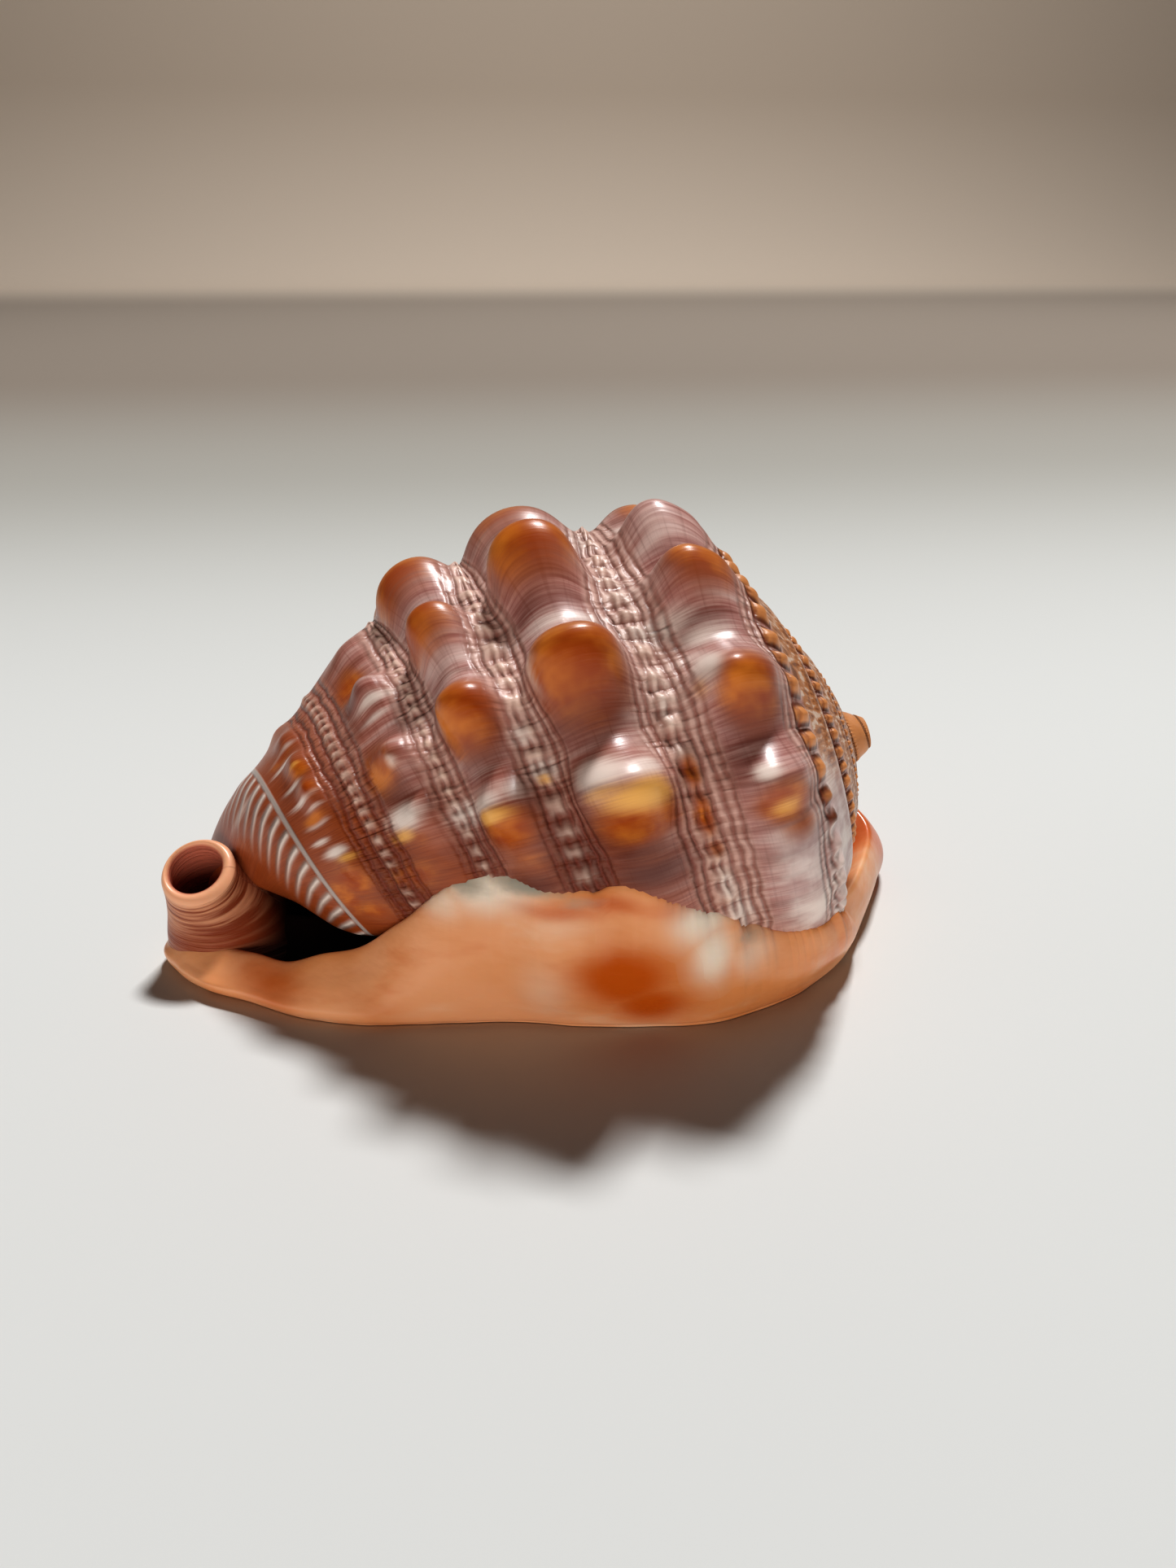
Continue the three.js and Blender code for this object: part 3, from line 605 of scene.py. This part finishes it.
def base_surface(settings):
    """Rolled rim, shield and lip: a closed section of twelve points swept round the aperture.

    The section runs from the slit under the rim to its edge, up the face to the margin, and back inside.
    """
    place = np.linspace(0, len(BASE), BASE_COLUMNS, endpoint=False)
    ring = spline(BASE, place, closed=True)
    ahead, behind = (spline(BASE, (place + step) % len(BASE), closed=True)[:, :2] for step in (0.05, -0.05))
    along = ahead - behind
    inward = np.stack([-along[:, 1], along[:, 0], np.zeros(BASE_COLUMNS)], axis=-1)
    inward /= np.linalg.norm(inward, axis=-1, keepdims=True)
    flat_in = inward[:, :2]
    edge = np.column_stack([ring[:, 0], ring[:, 1], np.full(BASE_COLUMNS, RIM_HEIGHT)])
    waver = MARGIN_WAVER * np.sin(2.3 * place) * np.sin(0.9 * place)
    margin = lay_on_whorl(ring[:, 2:5] + np.outer(waver, (0.0, 0.0, 1.0)), near_whorl(settings))
    floor = ring[:, 5]
    thickness = ring[:, 6:7]
    slit, plain_slit = slit_edge(place, len(BASE))

    def at(flat, height):
        return np.column_stack([flat[:, 0], flat[:, 1], np.broadcast_to(height, BASE_COLUMNS)])

    def face(share):
        bulge = FACE_BULGE * np.sin(np.pi * share) * np.minimum(1.0, (margin[:, 2] - RIM_HEIGHT) / 12.0)
        return edge + share * (margin - edge) - bulge[:, None] * inward

    section = np.stack([
        at(slit, 1.5),
        at(slit + 0.15 * (edge[:, :2] - slit), 0.15),
        at(edge[:, :2] + 4.5 * flat_in, 0.0),
        at(edge[:, :2] + 1.2 * flat_in, 0.7),
        edge,
        face(0.33),
        face(0.67),
        margin,
        at(margin[:, :2] + 0.4 * thickness * flat_in, margin[:, 2] - 0.5),
        at(margin[:, :2] + thickness * flat_in, np.maximum(margin[:, 2] - 3.0, floor)),
        at(0.55 * edge[:, :2] + 0.45 * plain_slit, floor),
        at(plain_slit + 0.06 * (edge[:, :2] - plain_slit), 9.0),
    ])
    around = np.linspace(0, len(section), BASE_ROWS, endpoint=False)
    points = spline(section, around, closed=True)
    points[..., 2] = np.maximum(points[..., 2], 0.0)
    return make_piece("shield", points - CENTRE, base_fields(points, around), closed_rows=True)


def base_fields(points, around):
    """Spots of the near side, painted shade inside the front gap, and the darker peach behind the spire."""
    x, y, z = points[..., 0], points[..., 1], points[..., 2]
    near = smooth(0.0, -12.0, y)
    # Painted shade: where the front gap's inside goes near black
    inside = smooth(*GAP_TURN, around)[:, None] * smooth(*GAP_RIGHT, x) * smooth(*GAP_LEFT, x)
    behind = smooth(*BEHIND_X, x) * smooth(*BEHIND_Y, y)
    tints = [spots(x, z, places) for places in (SHIELD_ORANGE, SHIELD_CREAM, SHIELD_GREY)]
    return {
        "tint": near[..., None] * np.stack(tints, axis=-1),
        "shade": np.stack([inside, behind, np.zeros_like(x)], axis=-1),
    }


def canal_surface():
    """The turned-up canal: a flared tube, a rolled edge and the bore inside.

    Point = centre + (radius - wall) cos(turn) * side + (radius - wall) sin(turn) * depth, up the sections.
    """
    top = float(len(CANAL) - 1)
    turn = np.linspace(0.0, 2.0 * np.pi, CANAL_COLUMNS, endpoint=False)[None, :]
    outer = spread((0.0, top), (80,))
    roll = np.linspace(0.0, 1.0, EDGE_STEPS + 2)[1:-1]
    down = np.linspace(top, BORE_END, CANAL_ROWS - len(outer) - EDGE_STEPS)
    level = np.concatenate([outer, np.full(EDGE_STEPS, top), down])
    share = np.concatenate([np.zeros(len(outer)), roll, np.ones(len(down))])
    thick_side = 0.5 + 0.5 * np.cos(turn - CANAL_THICK_SIDE)
    wall = share[:, None] * (CANAL_WALL[0] + CANAL_WALL[1] * thick_side)
    lifted = np.concatenate([np.zeros(len(outer)), EDGE_ROLL * np.sin(np.pi * roll), np.zeros(len(down))])
    section = spline(CANAL, level)
    axis = section[:, 5:8] / np.linalg.norm(section[:, 5:8], axis=1, keepdims=True)
    side = np.array([1.0, 0.0, 0.0]) - axis[:, :1] * axis
    side /= np.linalg.norm(side, axis=1, keepdims=True)
    depth = np.cross(axis, side)
    wide = (section[:, 3:4] - wall) * np.cos(turn)
    deep = (section[:, 4:5] - wall) * np.sin(turn)
    points = (section[:, None, :3] + wide[..., None] * side[:, None] + deep[..., None] * depth[:, None]
              + (lifted[:, None] * axis)[:, None] - CENTRE)
    inner = smooth(0.75, 1.0, share)[:, None]
    grow = (level[:, None] * CANAL_SECTION_LENGTH, turn * CANAL_RADIUS, inner)
    fields = {"grow": np.stack(np.broadcast_arrays(*grow), axis=-1)}
    return make_piece("canal", points, fields, closed_rows=False)


def linear(code):
    """Linear RGBA of a hex sRGB colour."""
    values = [int(code[index:index + 2], 16) / 255.0 for index in (1, 3, 5)]
    return [v / 12.92 if v <= 0.04045 else ((v + 0.055) / 1.055) ** 2.4 for v in values] + [1.0]


def put(socket, value):
    """Gives an input a link, a value or the colour of a hex code; None leaves it alone."""
    if isinstance(value, bpy.types.NodeSocket):
        socket.id_data.links.new(value, socket)
    elif value is not None:
        socket.default_value = linear(value) if isinstance(value, str) else value


def add_node(tree, kind, *inputs, **settings):
    """Adds a node, sets it, fills its inputs in order, and gives its first output.

    A kind names its operation after a dot.
    """
    kind, _, operation = kind.partition(".")
    node = tree.nodes.new("ShaderNode" + kind)
    if operation:
        node.operation = operation
    for key, value in settings.items():
        setattr(node, key, value)
    for socket, value in zip([socket for socket in node.inputs if socket.enabled], inputs):
        put(socket, value)
    return next(socket for socket in node.outputs if socket.enabled)


def new_material(name):
    """New material, the function that adds its nodes, and its surface shader."""
    material = bpy.data.materials.new(name)
    material.use_nodes = True
    tree = material.node_tree
    return material, partial(add_node, tree), tree.nodes["Principled BSDF"]


def fill(surface, values):
    """Sets or links the named inputs of a surface shader."""
    for key, value in values.items():
        put(surface.inputs[key], value)


def point_values(add, name):
    """A point attribute as a vector, and its three parts."""
    vector = add("Attribute", attribute_name=name).node.outputs["Vector"]
    return vector, add("SeparateXYZ", vector).node.outputs


def object_place(add):
    """Place on the piece in metres as a vector, and its three parts."""
    vector = add("TexCoord").node.outputs["Object"]
    return vector, add("SeparateXYZ", vector).node.outputs


def grain(add, vector, stretch, detail, scale=1.0):
    """Noise on a vector that is stretched first; the larger the stretch, the finer the noise that way."""
    stretched = add("VectorMath.MULTIPLY", vector, stretch)
    return add("TexNoise", stretched, scale, detail)


def lay(add, base, colour, mask, amount=1.0):
    """Colour laid over a base where a mask is, times an amount."""
    share = add("Math.MULTIPLY", mask, amount)
    return add("Mix", share, base, colour, data_type="RGBA")


def blend(add, base, colour, pattern, low, high, amount=1.0):
    """Colour laid over a base as a pattern goes from a low level to a high one, or back."""
    mask = add("MapRange", pattern, low, high, interpolation_type="SMOOTHSTEP")
    return lay(add, base, colour, mask, amount)


def wave(add, value, period, sharpness):
    """Ridges of height one: (0.5 + 0.5 cos(2 pi value / period)) to the power of the sharpness."""
    turned = add("Math.COSINE", add("Math.MULTIPLY", value, 2.0 * np.pi / period))
    share = add("Math.MULTIPLY_ADD", turned, 0.5, 0.5)
    return add("Math.POWER", share, sharpness)


def broken(add, mask, pattern, low, high, amount):
    """Share of a soft spot whose edge is broken up by a pattern."""
    shift = add("Math.SUBTRACT", pattern, 0.5)
    shift = add("Math.MULTIPLY_ADD", shift, amount, mask)
    share = add("MapRange", shift, low, high, interpolation_type="SMOOTHSTEP")
    inside = add("Math.GREATER_THAN", mask, SPOT_FAINTEST)
    return add("Math.MULTIPLY", share, inside)


def bumps(add, marks):
    """Normal of a surface raised by each mark times its height in millimetres."""
    height = 0.0
    for mark, tall in marks:
        height = add("Math.MULTIPLY_ADD", mark, tall, height)
    return add("Bump", 1.0, MM, None, height)


def cord_marks(add, grow, place, relief, bands, clouds):
    """Grooves along the whorl between fine cords, and gaps across them; both sway, and fade on beads."""
    sway = add("Math.SUBTRACT", clouds, 0.5)
    sway = add("Math.MULTIPLY_ADD", sway, CORD_SWAY, place[0])
    bend = add("Math.SUBTRACT", bands, 0.5)
    bend = add("Math.MULTIPLY_ADD", bend, FOLD_SWAY, place[1])
    worn = grain(add, grow, (0.3, 0.3, 0.0), 2.0)
    worn = add("MapRange", worn, 0.3, 0.6, interpolation_type="SMOOTHSTEP")
    off_bead = add("Math.MULTIPLY_ADD", relief[1], -0.75, 1.0)
    cut = add("Math.MULTIPLY", relief[0], off_bead)
    groove = add("Math.MULTIPLY", wave(add, sway, CORD_PITCH, 1.4), cut)
    gap = add("Math.MULTIPLY", wave(add, bend, FOLD_PITCH, 1.25), cut)
    return groove, add("Math.MULTIPLY", gap, worn)


def front_marks(add, place, shade):
    """Slanting ribs on the front of the whorl, and the pale line behind them."""
    past = add("Math.SUBTRACT", place[0], RIB_START)
    bend = add("Math.MULTIPLY_ADD", past, 0.05, 0.35)
    slant = add("Math.MULTIPLY", past, bend)
    slant = add("Math.SUBTRACT", place[1], slant)
    rib = add("Math.MULTIPLY", wave(add, slant, RIB_PITCH, 2.4), shade[2])
    off = add("Math.SUBTRACT", place[0], LINE_PLACE)
    off = add("Math.ABSOLUTE", off)
    return rib, add("MapRange", off, 0.75, 0.25, interpolation_type="SMOOTHSTEP")


def whorl_ground(add, settings, relief, shade, dark, lines, bands, threads):
    """Mauve brown with growth lines, bands and threads, redder in front, paler on the cords, and painted
    shade under the knobs.
    """
    base = blend(add, "#9c6058", settings.mauve, lines, 0.22, 0.78)
    base = blend(add, base, "#ead2ca", bands, 0.45, 0.8, 0.8)
    base = blend(add, base, "#6e3a2e", bands, 0.5, 0.3, 0.5)
    base = blend(add, base, "#7a443a", threads, 0.48, 0.72, 0.35)
    base = lay(add, base, "#e6c0b2", relief[0], 0.7)
    base = lay(add, base, lay(add, "#702810", "#b8602f", lines), shade[1])
    # Painted shade under the knobs and on the lower near side
    base = lay(add, base, dark, shade[0], 0.8)
    return lay(add, base, "#efcfbd", relief[1], 0.95)


def spire_tints(add, base, grow, end, clouds):
    """Mottled strip beside the suture, lilac white near end, and orange beads with brown between them."""
    mottle = grain(add, grow, (0.35, 0.5, 0.0), 4.0)
    strip = blend(add, "#7d4a26", "#b97a48", mottle, 0.36, 0.52)
    strip = blend(add, strip, "#dcc3ae", mottle, 0.52, 0.64)
    base = lay(add, base, strip, end[0], 0.9)
    lilac = blend(add, "#b99a96", "#e2d3cc", clouds, 0.35, 0.65)
    base = lay(add, base, lilac, end[1], 0.8)
    bead = blend(add, "#6b3822", "#d9925a", end[2], 0.15, 0.6)
    return blend(add, base, bead, end[2], 0.0, 0.1)


def knob_tints(add, settings, base, tint, shade, dark, lines, clouds):
    """Orange crests with a brown halo, cream with painted highlights, gold, and painted shade on lower
    flanks.
    """
    orange = blend(add, "#a4460a", settings.knob_orange, clouds, 0.38, 0.68)
    halo = lay(add, "#8a4420", "#b06a45", lines)
    base = blend(add, base, halo, tint[0], 0.04, 0.6, 0.75)
    edge = add("Math.MULTIPLY", lines, 0.65)
    edge = add("Math.MULTIPLY_ADD", clouds, 0.35, edge)
    # Cream of pale patches, together with painted highlights and painted light on lit upper faces
    base = lay(add, base, "#efddd2", broken(add, tint[1], edge, 0.1, 0.95, 0.7))
    base = lay(add, base, orange, broken(add, tint[0], edge, 0.15, 0.9, 0.6))
    # Painted shade again over the orange on the knobs' lower flanks
    base = lay(add, base, dark, shade[0], 0.55)
    return lay(add, base, "#efb25e", broken(add, tint[2], edge, 0.1, 0.95, 0.7))


def whorl_enamel(settings):
    """Glazed aragonite of the whorls: a satin sheen with a thin clear coat, duller on the fine cords."""
    material, add, surface = new_material("whorl_shell_enamel")
    grow, place = point_values(add, "grow")
    relief, tint, shade, end = (point_values(add, name)[1] for name in ("relief", "tint", "shade", "end"))
    # On millimetres of shell: growth lines 0.4 apart, bands 3, spiral threads 0.5 and clouds 6
    lines = grain(add, grow, (0.10, 2.4, 0.0), 5.0)
    bands = grain(add, grow, (0.05, 0.33, 0.0), 2.0)
    threads = grain(add, grow, (1.9, 0.05, 0.0), 4.0)
    clouds = grain(add, grow, (0.16, 0.16, 0.0), 3.0)
    groove, gap = cord_marks(add, grow, place, relief, bands, clouds)
    rib, line = front_marks(add, place, shade)
    # Colour of the painted shade, redder where the front is red
    dark = lay(add, "#6a3a34", "#4c180a", shade[1])
    base = whorl_ground(add, settings, relief, shade, dark, lines, bands, threads)
    base = spire_tints(add, base, grow, end, clouds)
    base = knob_tints(add, settings, base, tint, shade, dark, lines, clouds)
    base = lay(add, base, "#84442f", gap, 0.45)
    base = lay(add, base, "#7a3424", groove, 0.7)
    base = lay(add, base, "#e4d3c8", rib)
    base = lay(add, base, "#b3a49c", line)
    fill(surface, {
        "Base Color": base,
        "Roughness": add("Math.MULTIPLY_ADD", relief[0], 0.12, 0.34),
        "Coat Weight": 0.07,
        "Coat Roughness": 0.12,
        "Normal": bumps(add, ((lines, 0.06), (groove, -0.36), (gap, -0.2), (rib, 0.6), (line, 0.2))),
    })
    return material


def shield_enamel(settings):
    """Thick porcelain-like enamel: glossy peach that lets a little light in, near black and matt with painted
    shade in the gap.
    """
    material, add, surface = new_material("shield_enamel")
    place, _ = object_place(add)
    tint, shade = (point_values(add, name)[1] for name in ("tint", "shade"))
    # On metres: clouds 17 mm wide, specks 6 mm, and drifts 11 mm high and 35 mm long
    clouds = grain(add, place, (0.6, 1.0, 1.0), 4.0, 60.0)
    fine = grain(add, place, (1.0, 1.0, 2.5), 3.0, 160.0)
    drift = grain(add, place, (0.3, 1.0, 1.1), 4.0, 95.0)
    base = blend(add, settings.peach, "#e2945a", clouds, 0.35, 0.7)
    base = blend(add, base, "#f6d9ba", drift, 0.52, 0.75, 0.6)
    base = blend(add, base, "#d4702c", drift, 0.46, 0.28, 0.5)
    base = lay(add, base, "#f4e3cf", broken(add, tint[1], clouds, 0.05, 1.05, 0.7))
    base = lay(add, base, "#c65a0c", broken(add, tint[0], clouds, 0.05, 1.0, 0.7))
    base = lay(add, base, "#a39a8a", broken(add, tint[2], fine, 0.15, 1.0, 0.8))
    base = lay(add, base, "#cf6a35", shade[1])
    # Painted shade: near black inside the front gap
    base = lay(add, base, GAP_SHADE_COLOUR, shade[0])
    fill(surface, {
        "Base Color": base,
        "Roughness": add("Math.MULTIPLY_ADD", shade[0], 0.63, 0.32),
        "Coat Weight": add("Math.MULTIPLY_ADD", shade[0], -0.2, 0.2),
        "Coat Roughness": 0.12,
        "Subsurface Weight": 0.15,
        "Subsurface Radius": GLOW_RADIUS,
        "Subsurface Scale": 0.003,
        "Normal": bumps(add, ((clouds, 1.2), (fine, 0.15))),
    })
    return material


def canal_enamel(settings):
    """Rough-grown enamel of the canal: satin pink brown wall, peach rim, dark red bore deepened by painted
    shade, and painted shade at the root.
    """
    material, add, surface = new_material("canal_enamel")
    grow, parts = point_values(add, "grow")
    # Growth lines 0.9 mm apart along the canal
    streaks = grain(add, grow, (1.1, 0.08, 0.0), 4.0)
    base = blend(add, "#8c4124", settings.canal_pink, streaks, 0.36, 0.64)
    base = blend(add, base, "#8f3d1b", parts[0], 12.0, 7.0, 0.75)
    base = blend(add, base, "#eeb08a", parts[0], 17.5, 19.6)
    # Dark red bore, with painted shade darkening it further down
    bore = blend(add, "#4a1408", "#c0705a", parts[0], 6.0, 18.0)
    base = lay(add, base, bore, parts[2])
    # Painted shade: near black towards the canal's root
    base = blend(add, base, GAP_SHADE_COLOUR, object_place(add)[1][0], *CANAL_ROOT)
    fill(surface, {
        "Base Color": base,
        "Roughness": 0.35,
        "Subsurface Weight": 0.1,
        "Subsurface Radius": GLOW_RADIUS,
        "Subsurface Scale": 0.002,
        "Normal": bumps(add, ((streaks, 0.5),)),
    })
    return material


def table_surface():
    """Matt painted board: pale, warmer and darker towards its far side as painted shade, lighter again up the
    backdrop.
    """
    material, add, surface = new_material("pale_table")
    far = object_place(add)[1][1]
    # Painted shade darkens and warms the far table; the backdrop goes lighter again
    tone = blend(add, "#dfe0de", "#b0afa9", far, 0.02, 0.5)
    tone = blend(add, tone, "#8b8177", far, 0.2, 1.0)
    tone = blend(add, tone, "#cdbfb0", far, 2.2, 3.4)
    fill(surface, {"Base Color": tone, "Roughness": 0.9, "Specular IOR Level": 0.1})
    return material


def shell_group():
    """Group that holds every piece of the shell."""
    return bpy.data.collections.get("shell_pieces") or bpy.data.collections.new("shell_pieces")


def add_piece(piece, material):
    """Finishes a piece: its material, slot and body, and the node that it stands for."""
    piece.data.materials.append(material)
    shell_group().objects.link(piece)
    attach(piece, "root")
    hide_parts(NODE)


def turned(holder, place, direction):
    """Puts a camera or light at a place in metres, facing a direction."""
    facing = direction.to_track_quat("-Z", "Y").to_matrix().to_4x4()
    holder.matrix_world = Matrix.Translation(Vector(place)) @ facing
    bpy.context.scene.collection.objects.link(holder)


def add_camera():
    """Camera at the photograph's viewpoint."""
    camera = bpy.data.cameras.new("camera")
    camera.sensor_width = 36.0
    camera.lens = LENS
    camera.clip_start = 0.01
    holder = bpy.data.objects.new("camera", camera)
    level = np.cos(CAMERA_DOWN)
    forward = Vector((-np.sin(CAMERA_TURN) * level, np.cos(CAMERA_TURN) * level, -np.sin(CAMERA_DOWN)))
    turned(holder, (CAMERA_AT - CENTRE) * MM, forward)
    bpy.context.scene.camera = holder


def add_table():
    """Flat floor that curves up into a backdrop behind the shell."""
    across = np.array([-TABLE_HALF, TABLE_HALF])
    bend = np.radians(np.linspace(0.0, 90.0, 24))
    back = TABLE_BACK + TABLE_BEND * np.sin(bend)
    depth = np.concatenate([[TABLE_FRONT], back, back[-1:]])
    height = np.concatenate([[0.0], TABLE_BEND * (1.0 - np.cos(bend)), [TABLE_TOP]])
    points = np.stack(np.broadcast_arrays(across[None, :], depth[:, None], height[:, None]), axis=-1)
    count = len(depth)
    row = np.arange(count - 1) * 2
    faces = np.stack([row, row + 1, row + 3, row + 2], axis=-1)
    table = mesh_object("table", points.reshape(-1, 3), [faces], {})
    table.data.materials.append(table_surface())


def add_light(name, place, wide, high, power, colour, lit=None):
    """Rectangular soft light that faces the shell; where a group of objects is given, it lights only those.

    Such a light leaves no reflection of its panel on them.
    """
    light = bpy.data.lights.new(name, "AREA")
    light.shape = "RECTANGLE"
    light.size = wide
    light.size_y = high
    light.energy = power
    light.color = linear(colour)[:3]
    holder = bpy.data.objects.new(name, light)
    if lit is not None:
        holder.light_linking.receiver_collection = lit
        holder.visible_glossy = False
    turned(holder, place, Vector(LIGHT_AIM) - Vector(place))


def add_sky():
    """Weak even light from all round, and the contrast of the picture."""
    world = bpy.data.worlds.new("soft_sky")
    world.use_nodes = True
    background = world.node_tree.nodes["Background"]
    background.inputs[0].default_value = linear(SKY_COLOUR)
    background.inputs[1].default_value = SKY_STRENGTH
    scene = bpy.context.scene
    scene.world = world
    scene.view_settings.view_transform = "Standard"
    scene.view_settings.look = "Medium High Contrast"


def share_property(name, description):
    """Setting that multiplies a height."""
    return bpy.props.FloatProperty(name=name, description=description, default=1.0, min=0.0, soft_max=1.5,
                                   subtype="FACTOR")


def colour_property(name, description, code):
    """Setting for a colour, given as a hex sRGB value."""
    return bpy.props.FloatVectorProperty(name=name, description=description, default=linear(code), size=4,
                                         min=0.0, max=1.0, subtype="COLOR")


class ShellSettings(bpy.types.PropertyGroup):
    """Sizes and colours of the shell"""
    growth: bpy.props.FloatProperty(name="Growth", description="Widening per whorl", default=1.6)
    knob_size: share_property("Knob size", "Height of the knobs")
    cord_size: share_property("Cord size", "Height of the beaded cords")
    mauve: colour_property("Mauve", "Ground of the whorls", "#cf9f96")
    knob_orange: colour_property("Knob orange", "Crests of the knobs", "#d27a28")
    peach: colour_property("Peach", "Ground of the shield", "#efab7c")
    canal_pink: colour_property("Canal pink", "Wall of the canal", "#d3936f")


class SHELL_OT_whorls(bpy.types.Operator):
    """Adds the body whorl and the spire"""
    bl_idname = "shell.whorls"
    bl_label = "Whorls"

    def execute(self, context):
        settings = context.scene.shell
        material = whorl_enamel(settings)
        add_piece(body_whorl(settings), material)
        add_piece(spire(settings), material)
        return {"FINISHED"}


class SHELL_OT_shield(bpy.types.Operator):
    """Adds the shield with its rim and the toothed slit"""
    bl_idname = "shell.shield"
    bl_label = "Shield"

    def execute(self, context):
        settings = context.scene.shell
        add_piece(base_surface(settings), shield_enamel(settings))
        return {"FINISHED"}


class SHELL_OT_canal(bpy.types.Operator):
    """Adds the turned-up canal"""
    bl_idname = "shell.canal"
    bl_label = "Canal"

    def execute(self, context):
        add_piece(canal_surface(), canal_enamel(context.scene.shell))
        return {"FINISHED"}


class SHELL_OT_stage(bpy.types.Operator):
    """Adds the camera, the table and the lights"""
    bl_idname = "shell.stage"
    bl_label = "Stage"

    def execute(self, context):
        add_camera()
        add_table()
        add_light(*WINDOW)
        add_light(*FILL, shell_group())
        add_sky()
        return {"FINISHED"}


class SHELL_PT_panel(bpy.types.Panel):
    bl_label = "Helmet shell"
    bl_idname = "SHELL_PT_panel"
    bl_space_type = "VIEW_3D"
    bl_region_type = "UI"
    bl_category = "Shell"

    def draw(self, context):
        for name in ShellSettings.__annotations__:
            self.layout.prop(context.scene.shell, name)
        for kind in OPERATORS:
            self.layout.operator(kind.bl_idname)


OPERATORS = (SHELL_OT_stage, SHELL_OT_whorls, SHELL_OT_shield, SHELL_OT_canal)
CLASSES = (ShellSettings,) + OPERATORS + (SHELL_PT_panel,)


def register():
    """Makes the settings, operators and panel known."""
    for kind in CLASSES:
        bpy.utils.register_class(kind)
    bpy.types.Scene.shell = bpy.props.PointerProperty(type=ShellSettings)


def unregister():
    """Takes them away again."""
    del bpy.types.Scene.shell
    for kind in reversed(CLASSES):
        bpy.utils.unregister_class(kind)


def main():
    """Builds everything in order."""
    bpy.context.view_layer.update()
    register()
    bpy.ops.shell.stage()
    bpy.ops.shell.whorls()
    bpy.ops.shell.shield()
    bpy.ops.shell.canal()


if __name__ == "__main__":
    main()
